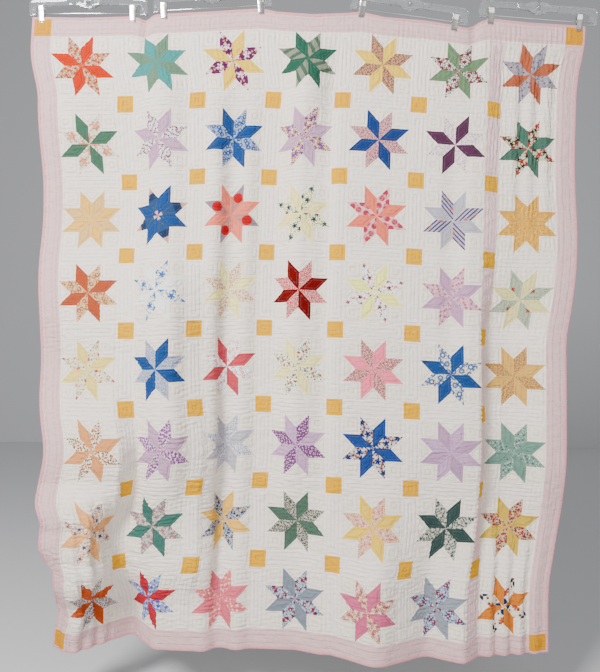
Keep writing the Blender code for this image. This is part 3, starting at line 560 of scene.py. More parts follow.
def marks(tree, cut, shape, repeat_mm, fill, seed):
    """Where one kind of printed mark falls. A tip, heart or spot lies at a distance along the point."""
    if shape in ("tip", "heart"):
        along = add_node(tree, "SeparateXYZ", {"Vector": cut}).outputs["Y"]
        sides = (along, fill) if shape == "heart" else (fill, along)
        return edge_mask(tree, math_node(tree, "SUBTRACT", *sides), 0.0, TIP_SOFT)
    if shape == "spot":
        spot = (0.0, repeat_mm / 1000.0, 0.0)
        away = add_node(tree, "VectorMath", {0: cut, 1: spot}, operation="DISTANCE")
        return edge_mask(tree, away.outputs["Value"], fill, SPOT_SOFT)
    per_metre = [1000.0 / repeat_mm] * 3
    start = (0.37 * seed, 0.61 * seed, 0.0)
    moved = add_node(
        tree, "VectorMath", {0: cut, 1: per_metre, 2: start}, operation="MULTIPLY_ADD").outputs[0]
    if shape in SLANTS:
        parts = add_node(tree, "SeparateXYZ", {"Vector": moved}).outputs
        leaned = math_node(tree, "MULTIPLY", parts["X"], SLANTS[shape])
        slanted = math_node(tree, "ADD", parts["Y"], leaned)
        return edge_mask(tree, math_node(tree, "PINGPONG", slanted, 0.5), fill / 2.0, STRIPE_SOFT)
    loose = LOOSENESS.get(shape, LOOSE)
    placing = {"Scale": 1.0, "Randomness": loose, "Vector": moved}
    cells = add_node(tree, "TexVoronoi", placing, voronoi_dimensions="2D").outputs
    if shape in ("dot", "disc"):
        return edge_mask(tree, cells["Distance"], fill, MARK_SOFT)
    if shape == "ring":
        beyond = math_node(tree, "SUBTRACT", cells["Distance"], fill * RING_LINE)
        return edge_mask(tree, math_node(tree, "ABSOLUTE", beyond), fill * RING_HALF, RING_SOFT)
    local = add_node(tree, "VectorMath", {0: moved, 1: cells["Position"]}, operation="SUBTRACT").outputs[0]
    parts = add_node(tree, "SeparateXYZ", {"Vector": local}).outputs
    lot = add_node(tree, "SeparateColor", {"Color": cells["Color"]}).outputs[0]
    angle = math_node(tree, "ARCTAN2", parts["Y"], parts["X"])
    spun = math_node(tree, "ADD", angle, math_node(tree, "MULTIPLY", lot, 2.0 * math.pi))
    petals, cut_in = PETALS[shape]
    wave = math_node(tree, "COSINE", math_node(tree, "MULTIPLY", spun, petals))
    outline = math_node(tree, "ADD", math_node(tree, "MULTIPLY", wave, cut_in), 1.0 - cut_in)
    return edge_mask(tree, cells["Distance"], math_node(tree, "MULTIPLY", outline, fill), MARK_SOFT)


THREAD_SCALE = 380.0
WRINKLE_SCALE = (85.0, 250.0, 1.0)
WRINKLE_RELIEF = 0.85
THREAD_RELIEF = 0.05
GROOVE_RELIEF = 0.45
RELIEF_DEPTH = 0.0024
STITCH_LENGTH = 0.0042
STITCH_SLANT = 1.37
STITCH_UNDER = -0.15
THREAD_HALF = 0.00045
THREAD_SOFT = 0.00025
GROOVE_HALF = 0.0013
FADING_SCALE = 9.0
FADING = 0.10
# How strongly painted shade and light follow the crinkles, and how much painted shade lies along the stitch
# grooves
WRINKLE_SHADE = 0.30
GROOVE_SHADE = 0.10
PALEST = 0.935


def weave_group():
    """Woven cotton, the same for every scrap: threads, crinkles and stitch holes as a normal, and a tone of
    uneven fading with painted shade and light on the crinkles and painted shade along the stitch grooves.
    """
    tree = bpy.data.node_groups.new("woven_cotton", "ShaderNodeTree")
    for name, kind in (("Fading and Shade", "Float"), ("Thread", "Float"), ("Normal", "Vector")):
        tree.interface.new_socket(name, in_out="OUTPUT", socket_type="NodeSocket" + kind)
    out = tree.nodes.new("NodeGroupOutput").inputs
    flat = add_node(tree, "UVMap", {}, uv_map="flat").outputs["UV"]
    seam = add_node(tree, "Attribute", {}, attribute_name="seam").outputs["Fac"]

    thread_inputs = {"Scale": THREAD_SCALE, "Distortion": 1.5, "Detail Scale": 0.6, "Vector": flat}
    threads = [
        add_node(tree, "TexWave", thread_inputs, bands_direction=direction).outputs["Fac"]
        for direction in ("X", "Y")
    ]
    weave = math_node(tree, "MULTIPLY", *threads)
    stretched = add_node(tree, "Mapping", {"Scale": WRINKLE_SCALE, "Vector": flat}).outputs["Vector"]
    wrinkle = add_node(
        tree, "TexNoise", {"Scale": 1.0, "Detail": 3.0, "Roughness": 0.6, "Vector": stretched},
        noise_dimensions="2D").outputs["Fac"]

    # The running stitch: a white thread that dips in and out along the quilted lines
    shifted = math_node(tree, "ADD", seam, STITCH_ECHO / 2.0 - STITCH_INSET)
    folded = math_node(tree, "FLOORED_MODULO", shifted, STITCH_ECHO)
    line = math_node(tree, "ABSOLUTE", math_node(tree, "SUBTRACT", folded, STITCH_ECHO / 2.0))
    inside = math_node(tree, "GREATER_THAN", seam, STITCH_INSET / 2.0)
    places = add_node(tree, "SeparateXYZ", {"Vector": flat}).outputs
    along = math_node(tree, "ADD", places["X"], math_node(tree, "MULTIPLY", places["Y"], STITCH_SLANT))
    rhythm = math_node(tree, "SINE", math_node(tree, "MULTIPLY", along, 2.0 * math.pi / STITCH_LENGTH))
    dash = math_node(tree, "GREATER_THAN", rhythm, STITCH_UNDER)
    thread = math_node(tree, "MULTIPLY", edge_mask(tree, line, THREAD_HALF, THREAD_SOFT), inside)
    tree.links.new(math_node(tree, "MULTIPLY", thread, dash), out["Thread"])
    groove = math_node(tree, "MULTIPLY", edge_mask(tree, line, GROOVE_HALF, GROOVE_HALF), inside)

    height = math_node(tree, "ADD", math_node(tree, "MULTIPLY", weave, THREAD_RELIEF),
                       math_node(tree, "MULTIPLY", wrinkle, WRINKLE_RELIEF))
    height = math_node(tree, "SUBTRACT", height, math_node(tree, "MULTIPLY", groove, GROOVE_RELIEF))
    bump = add_node(tree, "Bump", {"Strength": 1.0, "Distance": RELIEF_DEPTH, "Height": height})
    tree.links.new(bump.outputs["Normal"], out["Normal"])

    # Washing and light have faded it unevenly. Painted shade darkens the low places of the crinkles and the
    # stitch grooves, and painted light brightens the crinkles' ridges
    clouds = add_node(
        tree, "TexNoise", {"Scale": FADING_SCALE, "Detail": 4.0, "Vector": flat},
        noise_dimensions="2D").outputs["Fac"]
    fading_and_shade = math_node(tree, "ADD", math_node(tree, "MULTIPLY", clouds, FADING), PALEST)
    # Painted shade and light: the colour follows the crinkle noise, darker in its hollows and lighter on its
    # ridges
    shade = math_node(tree, "MULTIPLY", math_node(tree, "SUBTRACT", wrinkle, 0.5), WRINKLE_SHADE)
    fading_and_shade = math_node(tree, "ADD", fading_and_shade, shade)
    # Painted shade along the stitch grooves
    fading_and_shade = math_node(tree, "SUBTRACT", fading_and_shade, math_node(tree, "MULTIPLY", groove, GROOVE_SHADE))
    tree.links.new(fading_and_shade, out["Fading and Shade"])
    return tree


WEAVE = weave_group()
THREAD_COLOUR = as_light((236, 230, 224))
THREAD_SHOWS = 0.16
scrap_bag = {}


def scrap(name):
    """The cotton of that name, made the first time it is cut."""
    if name in scrap_bag:
        return scrap_bag[name]
    material = bpy.data.materials.new("cotton_" + name.replace(" ", "_"))
    material.use_nodes = True
    tree = material.node_tree
    shader = tree.nodes["Principled BSDF"]
    ground, printed = (PLAIN[name], ()) if name in PLAIN else PRINTED[name]
    cut = add_node(tree, "UVMap", {}, uv_map="cut").outputs["UV"]
    colour = as_light(ground)
    for seed, (shape, repeat_mm, fill, ink) in enumerate(printed):
        fallen = marks(tree, cut, shape, repeat_mm, fill, seed + 1)
        colour = laid_over(tree, colour, as_light(ink), fallen)
    weave = add_node(tree, "Group", {}, node_tree=WEAVE).outputs
    if isinstance(colour, tuple):
        colour = colour[:3]
    # The colour is scaled by the weave's uneven fading and its painted shade and light
    faded_and_shaded = add_node(tree, "VectorMath", {0: colour}, operation="SCALE")
    tree.links.new(weave["Fading and Shade"], faded_and_shaded.inputs["Scale"])
    shown = math_node(tree, "MULTIPLY", weave["Thread"], THREAD_SHOWS)
    sewn = laid_over(tree, faded_and_shaded.outputs[0], THREAD_COLOUR, shown)
    tree.links.new(sewn, shader.inputs["Base Color"])
    tree.links.new(weave["Normal"], shader.inputs["Normal"])
    shader.inputs["Roughness"].default_value = 0.88
    shader.inputs["Specular IOR Level"].default_value = 0.12
    scrap_bag[name] = material
    return material


# Cutting and sewing
# Each patch is a fine grid on the flat quilt, cut with its own grain. Sewing joins the patches of
# a piece along their seams and hangs them; its own two maps carry the flat place and the grain.

def seam_distance(points, corners):
    """How far each point is inside a straight-sided patch from its nearest side."""
    nearest = np.full(len(points), np.inf)
    for start, end in zip(corners, corners[1:] + corners[:1]):
        along = np.subtract(end, start)
        away = points - np.array(start)
        distance = np.abs(along[0] * away[:, 1] - along[1] * away[:, 0]) / np.hypot(*along)
        nearest = np.minimum(nearest, distance)
    return nearest


def grid_faces(rows, columns):
    """The quads between the points of a grid."""
    first = (np.arange(rows - 1)[:, None] * columns + np.arange(columns - 1)).ravel()
    return np.stack((first, first + columns, first + columns + 1, first + 1), axis=1).tolist()


def strip_patch(fabric, us, vs, inset=None):
    """A rectangle between two sets of lines; inset names its seams where they aren't its sides."""
    points = np.stack(np.meshgrid(us, vs), axis=2).reshape(-1, 2)
    left, right, top, bottom = inset or (us[0], us[-1], vs[0], vs[-1])
    corners = [(left, top), (right, top), (right, bottom), (left, bottom)]
    centre = ((us[0] + us[-1]) / 2.0, (vs[0] + vs[-1]) / 2.0)
    return fabric, points, grid_faces(len(vs), len(us)), corners, centre, 0.0


def finish_cloth(mesh, u, v, seam, fabrics, cut=None):
    """Give a sewn mesh its two maps, seam distances and cottons, and make it a piece."""
    corner_points = np.zeros(len(mesh.loops), np.int32)
    mesh.loops.foreach_get("vertex_index", corner_points)
    flat = np.stack((u, LENGTH - v), axis=1)[corner_points]
    for layer, places in (("flat", flat), ("cut", flat if cut is None else np.array(cut))):
        mesh.uv_layers.new(name=layer).data.foreach_set("uv", places.astype(np.float32).ravel())
    mesh.attributes.new("seam", "FLOAT", "POINT").data.foreach_set("value", seam.astype(np.float32))
    for fabric in fabrics:
        mesh.materials.append(scrap(fabric))
    mesh.shade_smooth()
    piece = bpy.data.objects.new(mesh.name, mesh)
    bpy.context.scene.collection.objects.link(piece)
    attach(piece, "root")
    return piece


def face_outwards(mesh):
    """Turn the faces of a closed mesh outwards."""
    work = bmesh.new()
    work.from_mesh(mesh)
    bmesh.ops.recalc_face_normals(work, faces=work.faces)
    work.to_mesh(mesh)
    work.free()


def sew(name, patches):
    """One hung piece of the quilt's face from its patches."""
    points = np.concatenate([patch[1] for patch in patches])
    keys = np.round(points * 100000.0).astype(np.int64)
    _, first, joined = np.unique(keys, axis=0, return_index=True, return_inverse=True)
    joined = joined.ravel()
    u, v = points[first].T
    seam = np.full(len(u), np.inf)
    fabrics = sorted({patch[0] for patch in patches})
    faces = []
    slots = []
    cuts = []
    start = 0
    for fabric, local, quads, corners, centre, grain in patches:
        members = joined[start:start + len(local)]
        start += len(local)
        np.minimum.at(seam, members, seam_distance(local, corners))
        a, b, c = (local[index] for index in quads[0][:3])
        turned = np.cross(b - a, c - a) > 0.0
        across, down = (local - np.array(centre)).T
        cos, sin = math.cos(grain), math.sin(grain)
        cut = np.stack((across * cos + down * sin, across * sin - down * cos), axis=1)
        for quad in quads:
            order = quad[::-1] if turned else quad
            faces.append([members[index] for index in order])
            cuts.extend(cut[index] for index in order)
            slots.append(fabrics.index(fabric))
    mesh = bpy.data.meshes.new(name)
    mesh.from_pydata(hang(u, v, face_height(u, v, seam)).tolist(), [], faces)
    piece = finish_cloth(mesh, u, v, seam, fabrics, cuts)
    mesh.polygons.foreach_set("material_index", slots)
    return piece


# The star blocks and the short sashing between them
# Eight diamonds, two cottons by turns, meet in the middle of each 180 mm block; four squares
# and four wedges of white fill it out. Seven blocks and six short sashes are sewn into a row.

STEPS = 15
SASH_STEPS = 15
HALF = BLOCK / 2.0
TIP = HALF * math.tan(math.pi / 8.0)
SIDE = HALF / (1.0 + math.cos(math.pi / 4.0))
POINT_ANGLES = [math.radians(22.5 + 45.0 * point) for point in range(8)]


def clock(angle, length):
    """A place at that angle, clockwise from twelve, and that far from the middle."""
    return np.array((math.sin(angle) * length, -math.cos(angle) * length))


def diamond(fabric, middle, angle):
    """One point of a star."""
    first = clock(angle - math.pi / 8.0, SIDE)
    second = clock(angle + math.pi / 8.0, SIDE)
    steps = np.linspace(0.0, 1.0, STEPS + 1)
    a, b = np.meshgrid(steps, steps)
    points = middle + a.reshape(-1, 1) * first + b.reshape(-1, 1) * second
    corners = [tuple(middle), tuple(middle + first), tuple(middle + first + second), tuple(middle + second)]
    return fabric, points, grid_faces(STEPS + 1, STEPS + 1), corners, tuple(middle), angle


def wedge(fabric, middle, angle):
    """The triangle between two points of a star, its long side on the block's edge."""
    apex = clock(angle, SIDE)
    out = clock(angle, HALF)
    side = clock(angle + math.pi / 2.0, TIP)
    points = []
    faces = []
    for row in range(STEPS + 1):
        along = row / STEPS
        left = apex + (out - side - apex) * along
        right = apex + (out + side - apex) * along
        base = row * (row + 1) // 2
        for step in range(row + 1):
            points.append(middle + left + (right - left) * (step / max(row, 1)))
            if row < STEPS:
                below = base + row + 1 + step
                faces.append([base + step, below, below + 1])
                if step < row:
                    faces.append([base + step, below + 1, base + step + 1])
    corners = [tuple(middle + apex), tuple(middle + out - side), tuple(middle + out + side)]
    return fabric, np.array(points), faces, corners, tuple(middle), angle


def block_lines(start):
    """The seam and step lines of a block, from its left or top edge."""
    outer = np.linspace(0.0, HALF - TIP, STEPS + 1)
    inner = np.linspace(HALF - TIP, HALF + TIP, STEPS + 1)
    far = np.linspace(HALF + TIP, BLOCK, STEPS + 1)
    return start + np.concatenate((outer, inner[1:], far[1:]))


def sash_lines(start):
    return np.linspace(start, start + SASH, SASH_STEPS + 1)


def star_block(row, column):
    """All the patches of one block."""
    left = EDGE + column * PITCH
    top = EDGE + row * PITCH
    middle = np.array((left + HALF, top + HALF))
    patches = []
    for point, angle in enumerate(POINT_ANGLES):
        patches.append(diamond(STARS[row][column][point % 2], middle, angle))
    for side in range(4):
        patches.append(wedge("ground", middle, side * math.pi / 2.0))
    for right in (0, 1):
        for low in (0, 1):
            us = np.linspace(0.0, HALF - TIP, STEPS + 1) + left + right * (HALF + TIP)
            vs = np.linspace(0.0, HALF - TIP, STEPS + 1) + top + low * (HALF + TIP)
            patches.append(strip_patch("ground", us, vs))
    return patches


for row in range(ROWS):
    patches = []
    for column in range(COLUMNS):
        patches += star_block(row, column)
        if column < COLUMNS - 1:
            tint = "pink sash" if column == COLUMNS - 2 else "sash"
            patches.append(strip_patch(
                tint, sash_lines(EDGE + column * PITCH + BLOCK), block_lines(EDGE + row * PITCH)))
    sew(f"star_row_{row + 1}", patches)


# The long sashing with its gold cornerstones
# A pale strip two inches wide runs between every two rows, cut into lengths by gold squares
# where it crosses the short sashing.

for row in range(ROWS - 1):
    vs = sash_lines(EDGE + row * PITCH + BLOCK)
    patches = []
    for column in range(COLUMNS):
        left = EDGE + column * PITCH
        patches.append(strip_patch("sash", block_lines(left), vs))
        if column < COLUMNS - 1:
            patches.append(strip_patch("gold", sash_lines(left + BLOCK), vs))
    sew(f"sashing_{row + 1}", patches)


# The border
# A plain pink cotton strip two inches wide frames the blocks, with a yellow square let in at
# each corner. Its outer edge runs under the binding.

BORDER_STEPS = 11
RIM_LINE = 0.0012


def all_lines(count):
    """Every seam and step line of the blocks and sashes one way across the quilt."""
    lines = []
    for index in range(count):
        start = EDGE + index * PITCH
        lines += list(block_lines(start))
        if index < count - 1:
            lines += list(sash_lines(start + BLOCK)[1:-1])
    return np.array(sorted(set(np.round(lines, 9))))


def border_strip(total, far):
    """The lines across one border from its edge inwards, or at the far side, and its two seams."""
    lines = np.linspace(RIM_LINE, EDGE, BORDER_STEPS + 1)
    if far:
        return (total - lines)[::-1], (total - EDGE, total)
    return lines, (0.0, EDGE)


across_lines = all_lines(COLUMNS)
down_lines = all_lines(ROWS)
across_seams = (EDGE, WIDTH - EDGE)
down_seams = (EDGE, LENGTH - EDGE)
patches = []
for far in (False, True):
    side_lines, side_seams = border_strip(WIDTH, far)
    end_lines, end_seams = border_strip(LENGTH, far)
    patches.append(strip_patch("border pink", side_lines, down_lines, (*side_seams, *down_seams)))
    patches.append(strip_patch("border pink", across_lines, end_lines, (*across_seams, *end_seams)))
    for low in (False, True):
        corner_lines, corner_seams = border_strip(LENGTH, low)
        patches.append(strip_patch("corner yellow", side_lines, corner_lines, (*side_seams, *corner_seams)))
sew("pink_border", patches)


# The back
# One plain cotton backing without seams, drawn up in the same puckers as the face. Its edge
# turns up under the binding.

BACK_STEP = 0.0095
BACK_SEAM = 0.05
BACK_PUFF = 0.5
BACK_CRINKLE = 0.6
BACK_THICK = 0.0005
TURNED_UP = 0.003
TUCKED = 0.0002
us = np.linspace(RIM_LINE, WIDTH - RIM_LINE, int(WIDTH / BACK_STEP) + 1)
vs = np.linspace(RIM_LINE, LENGTH - RIM_LINE, int(LENGTH / BACK_STEP) + 1)
u, v = (lines.ravel() for lines in np.meshgrid(us, vs))
turned_up = rim_distance(u, v) < TURNED_UP
outer_off = -LOFT_HALF - BACK_PUFF * PUFF + BACK_CRINKLE * crinkles(u, v) * free_of_rim(u, v)
outer_off = np.where(turned_up, -RIM_HALF, outer_off)
inner_off = np.where(turned_up, RIM_HALF - TUCKED, outer_off + BACK_THICK)
places = np.concatenate((hang(u, v, outer_off), hang(u, v, inner_off)))
count = len(u)
columns = len(us)
rows = len(vs)
quads = np.array(grid_faces(rows, columns))
edge_points = list(range(columns))
edge_points += [row * columns + columns - 1 for row in range(1, rows)]
edge_points += [(rows - 1) * columns + column for column in range(columns - 2, -1, -1)]
edge_points += [row * columns for row in range(rows - 2, 0, -1)]
wall_faces = [
    [here, there, there + count, here + count]
    for here, there in zip(edge_points, edge_points[1:] + edge_points[:1])
]
mesh = bpy.data.meshes.new("quilt_back")
mesh.from_pydata(places.tolist(), [], quads.tolist() + (quads[:, ::-1] + count).tolist() + wall_faces)
face_outwards(mesh)
seam = np.full(2 * count, BACK_SEAM)
quilt_back = finish_cloth(mesh, np.tile(u, 2), np.tile(v, 2), seam, ["backing"])
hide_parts("quilt")


# The binding
# A strip of deeper pink cotton folded over the edge all round, hemmed down by hand on both
# sides and mitred at the corners. Its fold is soft and a little uneven.

BIND_STEP = 0.006
BIND_LIFT = 0.0021
SWELL = 0.16
SWELL_PITCH = 1.7
PUCKER = 0.10
PUCKER_PITCH = 1.3
bind_section = [
    (BINDING + 0.0004, 0.0016), (BINDING - 0.0008, BIND_LIFT + 0.0004), (0.0055, BIND_LIFT + 0.0008),
    (0.0022, BIND_LIFT + 0.0005), (0.0004, 0.0014), (-0.0002, 0.0), (0.0004, -0.0014),
    (0.0022, -BIND_LIFT - 0.0005), (0.0055, -BIND_LIFT - 0.0008), (BINDING - 0.0008, -BIND_LIFT - 0.0004),
    (BINDING + 0.0004, -0.0016), (0.0040, -0.0012), (0.0040, 0.0012),
]


def edge_stops():
    """Places round the quilt's edge, clockwise from the top left: across, down, and the way in."""
    across = np.linspace(0.0, WIDTH, int(WIDTH / BIND_STEP) + 1)
    down = np.linspace(0.0, LENGTH, int(LENGTH / BIND_STEP) + 1)
    stops = [(0.0, 0.0, 1, 1)]
    stops += [(place, 0.0, 0, 1) for place in across[2:-2]]
    stops += [(WIDTH, 0.0, -1, 1)]
    stops += [(WIDTH, place, -1, 0) for place in down[2:-2]]
    stops += [(WIDTH, LENGTH, -1, -1)]
    stops += [(place, LENGTH, 0, -1) for place in across[::-1][2:-2]]
    stops += [(0.0, LENGTH, 1, -1)]
    stops += [(0.0, place, 1, 0) for place in down[::-1][2:-2]]
    return stops


stops = edge_stops()
inward = np.array([place for place, _ in bind_section])
lift = np.array([height for _, height in bind_section])
u = np.concatenate([across + into_x * inward for across, _, into_x, _ in stops])
v = np.concatenate([down + into_z * inward for _, down, _, into_z in stops])
swell = SWELL * ripple(u * SWELL_PITCH, v * SWELL_PITCH, COCKLES)
pucker = 1.0 + swell + PUCKER * ripple(v * PUCKER_PITCH, u * PUCKER_PITCH, LEVEL_RIPPLES)
places = hang(np.clip(u, 0.0, WIDTH), np.clip(v, 0.0, LENGTH), np.tile(lift, len(stops)) * pucker)
count = len(bind_section)
faces = []
for index in range(len(stops)):
    here = index * count
    there = (index + 1) % len(stops) * count
    for step in range(count):
        ahead = (step + 1) % count
        faces.append([here + step, here + ahead, there + ahead, there + step])
mesh = bpy.data.meshes.new("quilt_binding")
mesh.from_pydata(places.tolist(), [], faces)
face_outwards(mesh)
quilt_binding = finish_cloth(mesh, u, v, np.zeros(len(u)), ["binding pink"])
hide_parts("binding")


# The clear plastic hangers
# Four trouser hangers of one mould, in glossy clear styrene: a rimmed bar with turned-down ends
# and a thicker middle with a window, where the head of the hook sits. Half of it is drawn flat,
# given its depth and mirrored.

HANGERS = ("hanger_1", "hanger_2", "hanger_3", "hanger_4")
BAR_DEPTH = 0.0033
BOSS_RISE = 0.0013
# The half bar's columns from the middle outwards: x and z of its top edge, x and z of its bottom
BAR_COLUMNS = (
    ("middle", 0.0, 0.051, 0.0, 0.015),
    ("boss", 0.020, 0.051, 0.013, 0.015),
    ("shoulder", 0.034, 0.045, 0.030, 0.024),
    ("boss rib", 0.046, 0.045, 0.040, 0.024),
    ("pocket", 0.064, 0.045, 0.056, 0.024),
    ("inside of the end", 0.1553, 0.045, 0.1553, 0.024),
    ("end", 0.1778, 0.045, 0.1778, 0.024),
)
POCKET_LOW = 0.006
END_LOW = -0.007
OUTER_CORNER = 0.0165
INNER_CORNER = 0.006
TOE_CORNER = 0.003
RIM_WIDTH = 0.0022
WEB_SINK = 0.0021
WINDOW_HALF = 0.0052
WINDOW_LOW = 0.024
WINDOW_HIGH = 0.038
BAR_EASE = 0.00045
HAIR = 0.0004


def pick(kind, test):
    """Select the points, edges or faces of the mesh in hand whose middle passes the test."""
    bpy.ops.mesh.select_mode(type={"verts": "VERT", "edges": "EDGE", "faces": "FACE"}[kind])
    bpy.ops.mesh.select_all(action="DESELECT")
    work = bmesh.from_edit_mesh(bpy.context.object.data)
    work.normal_update()
    for item in getattr(work, kind):
        if kind == "verts":
            middle = item.co
        elif kind == "edges":
            middle = (item.verts[0].co + item.verts[1].co) / 2.0
        else:
            middle = item.calc_center_median()
        item.select_set(bool(test(middle, item)))
    work.select_flush_mode()
    bmesh.update_edit_mesh(bpy.context.object.data)


def near(value, target):
    return abs(value - target) < HAIR


def move(x, y, z):
    bpy.ops.transform.translate(value=(x, y, z))


def extrude(x, y, z):
    bpy.ops.mesh.extrude_region_move(TRANSFORM_OT_translate={"value": (x, y, z)})


def new_box(name, low, high):
    """A box piece between two corners."""
    centre = [(a + b) / 2.0 for a, b in zip(low, high)]
    bpy.ops.mesh.primitive_cube_add(size=1.0, location=centre)
    piece = bpy.context.active_object
    piece.name = name
    piece.scale = [b - a for a, b in zip(low, high)]
    bpy.ops.object.transform_apply(location=True, rotation=True, scale=True)
    return piece


def add_modifier(piece, kind, **settings):
    modifier = piece.modifiers.new(kind.lower(), kind)
    for key, value in settings.items():
        setattr(modifier, key, value)
    return modifier


def settle(piece):
    """Apply the piece's modifiers and smooth it but for its sharp edges."""
    bpy.ops.object.select_all(action="DESELECT")
    piece.select_set(True)
    bpy.context.view_layer.objects.active = piece
    if piece.type == "CURVE":
        bpy.ops.object.convert(target="MESH")
    for modifier in list(piece.modifiers):
        bpy.ops.object.modifier_apply(modifier=modifier.name)
    bpy.ops.object.shade_smooth_by_angle(angle=math.radians(32.0))
    return piece


def long_edges_at(x, z):
    """A test for the edges that run through the bar's depth at one corner."""
    return lambda middle, edge: near(middle.x, x) and near(middle.z, z) and abs(
        edge.verts[0].co.y - edge.verts[1].co.y) > BAR_DEPTH


def model_bar():
    """The hanger's body in its own frame, with the wire along X through the origin."""
    bpy.ops.mesh.primitive_plane_add(size=1.0, rotation=(math.pi / 2.0, 0.0, 0.0))
    bar = bpy.context.active_object
    bar.name = "bar_mould"
    bpy.ops.object.transform_apply(location=True, rotation=True, scale=True)
    bpy.ops.object.mode_set(mode="EDIT")
    first, second = BAR_COLUMNS[:2]
    corners = ((-0.5, 0.5, first[1], first[2]), (0.5, 0.5, second[1], second[2]),
               (-0.5, -0.5, first[3], first[4]), (0.5, -0.5, second[3], second[4]))
    for x, z, new_x, new_z in corners:
        pick("verts", lambda middle, vert: near(middle.x, x) and near(middle.z, z))
        move(new_x - x, -BAR_DEPTH, new_z - z)
    for before, after in zip(BAR_COLUMNS[1:], BAR_COLUMNS[2:]):
        half_x = (before[1] + before[3]) / 2.0
        pick("edges", lambda middle, edge: near(middle.x, half_x) and edge.is_boundary)
        extrude(0.0, 0.0, 0.0)
        top = (after[1] - before[1], 0.0, after[2] - before[2])
        bottom = (after[3] - before[3], 0.0, after[4] - before[4])
        new_points = [vert for vert in bmesh.from_edit_mesh(bar.data).verts if vert.select]
        high = max(vert.co.z for vert in new_points)
        for vert in new_points:
            vert.co += Vector(top if vert.co.z > high - HAIR else bottom)
        bmesh.update_edit_mesh(bar.data)
    inner_x = BAR_COLUMNS[-2][1]
    outer_x = BAR_COLUMNS[-1][1]
    bottom_z = BAR_COLUMNS[-1][4]
    top_z = BAR_COLUMNS[-1][2]
    pick("edges", lambda middle, edge: middle.x > inner_x + HAIR and near(middle.z, bottom_z))
    extrude(0.0, 0.0, POCKET_LOW - bottom_z)
    extrude(0.0, 0.0, END_LOW - POCKET_LOW)
    bpy.ops.mesh.select_all(action="SELECT")
    extrude(0.0, 2.0 * BAR_DEPTH, 0.0)
    bpy.ops.mesh.select_all(action="SELECT")
    bpy.ops.mesh.normals_make_consistent(inside=False)
    for x, z, radius, segments in (
            (outer_x, top_z, OUTER_CORNER, 8), (inner_x, bottom_z, INNER_CORNER, 4),
            (outer_x, END_LOW, TOE_CORNER, 3), (inner_x, END_LOW, TOE_CORNER, 3)):
        pick("edges", long_edges_at(x, z))
        bpy.ops.mesh.bevel(offset=radius, segments=segments, profile=0.5, affect="EDGES")
    pocket_x = (BAR_COLUMNS[4][1] + BAR_COLUMNS[4][3]) / 2.0
    pick("faces", lambda middle, face: (
        abs(face.normal.y) > 0.9 and middle.x > pocket_x and middle.z > POCKET_LOW))
    bpy.ops.mesh.inset(thickness=RIM_WIDTH, depth=-WEB_SINK, use_even_offset=True)
    rib_x = (BAR_COLUMNS[3][1] + BAR_COLUMNS[3][3]) / 2.0
    for side in (-1.0, 1.0):
        pick("faces", lambda middle, face: face.normal.y * side > 0.9 and middle.x < rib_x)
        extrude(0.0, side * BOSS_RISE, 0.0)
    pick("faces", lambda middle, face: abs(middle.x) < HAIR)
    bpy.ops.mesh.delete(type="FACE")
    bpy.ops.object.mode_set(mode="OBJECT")
    add_modifier(bar, "MIRROR", use_clip=True, merge_threshold=0.00005)
    through = 4.0 * BAR_DEPTH
    window_box = new_box(
        "window_cutter", (-WINDOW_HALF, -through, WINDOW_LOW), (WINDOW_HALF, through, WINDOW_HIGH))
    add_modifier(bar, "BOOLEAN", operation="DIFFERENCE", object=window_box, solver="EXACT")
    add_modifier(
        bar, "BEVEL", width=BAR_EASE, segments=2, limit_method="ANGLE", angle_limit=math.radians(35.0))
    settle(bar)
    bpy.data.objects.remove(window_box)
    return bar


def finish_material(name, colour, metallic, roughness, **more):
    """A Principled finish for the hangers; names in more are its own inputs."""
    material = bpy.data.materials.new(name)
    material.use_nodes = True
    shader = material.node_tree.nodes["Principled BSDF"]
    shader.inputs["Base Color"].default_value = (*colour, 1.0)
    shader.inputs["Metallic"].default_value = metallic
    shader.inputs["Roughness"].default_value = roughness
    for key, value in more.items():
        shader.inputs[key.replace("_", " ")].default_value = value
    return material


clear_plastic = finish_material(
    "clear_plastic", (0.94, 0.96, 0.97), 0.0, 0.05, Transmission_Weight=0.94, IOR=1.5)
hanger_places = {}
for name in HANGERS:
    left, right, rod = (
        (low + high) / 2.0 for low, high in (
            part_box(name + "_left_spring"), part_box(name + "_right_spring"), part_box(name + "_wire")))
    tilt = math.atan2(right.z - left.z, right.x - left.x)
    place = Matrix.Translation((rod.x, 0.0, rod.z)) @ Matrix.Rotation(-tilt, 4, "Y")
    back = place.inverted()
    hanger_places[name] = (place, (back @ left).x, (back @ right).x)


def stand(mould, name, place, node, material):
    """A copy of a modelled piece at its place on one hanger, standing for its solid."""
    piece = mould.copy()
    piece.data = mould.data.copy()
    piece.name = name
    piece.data.name = name
    bpy.context.scene.collection.objects.link(piece)
    if piece.type == "MESH":
        piece.data.transform(place)
    piece.data.materials.clear()
    piece.data.materials.append(material)
    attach(piece, "root")
    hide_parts(node)
    return piece


bar = model_bar()
for name, (place, _, _) in hanger_places.items():
    stand(bar, name + "_clear_bar", place, name + "_body", clear_plastic)
bpy.data.objects.remove(bar)


# The wires and hooks
# A bright steel wire runs between the turned-down ends, and a swivel hook of thicker wire, its
# head peened over in the window, goes up through the middle and round the rail.

WIRE_RADIUS = 0.0016
WIRE_HALF = 0.1673
HOOK_WIRE = 0.0017
HOOK_RADIUS = 0.0207
HOOK_FIRST = -74
HOOK_LAST = 205
HOOK_NECK = 0.0035
HEAD_RADIUS = 0.0034
HEAD_TALL = 0.0024
HEAD_PLAY = 0.0003
NECK_KNEE = 0.0006
NECK_STEPS = 8
BEND_DEGREES = 6

bright_steel = finish_material("bright_steel", (0.74, 0.74, 0.73), 1.0, 0.16)


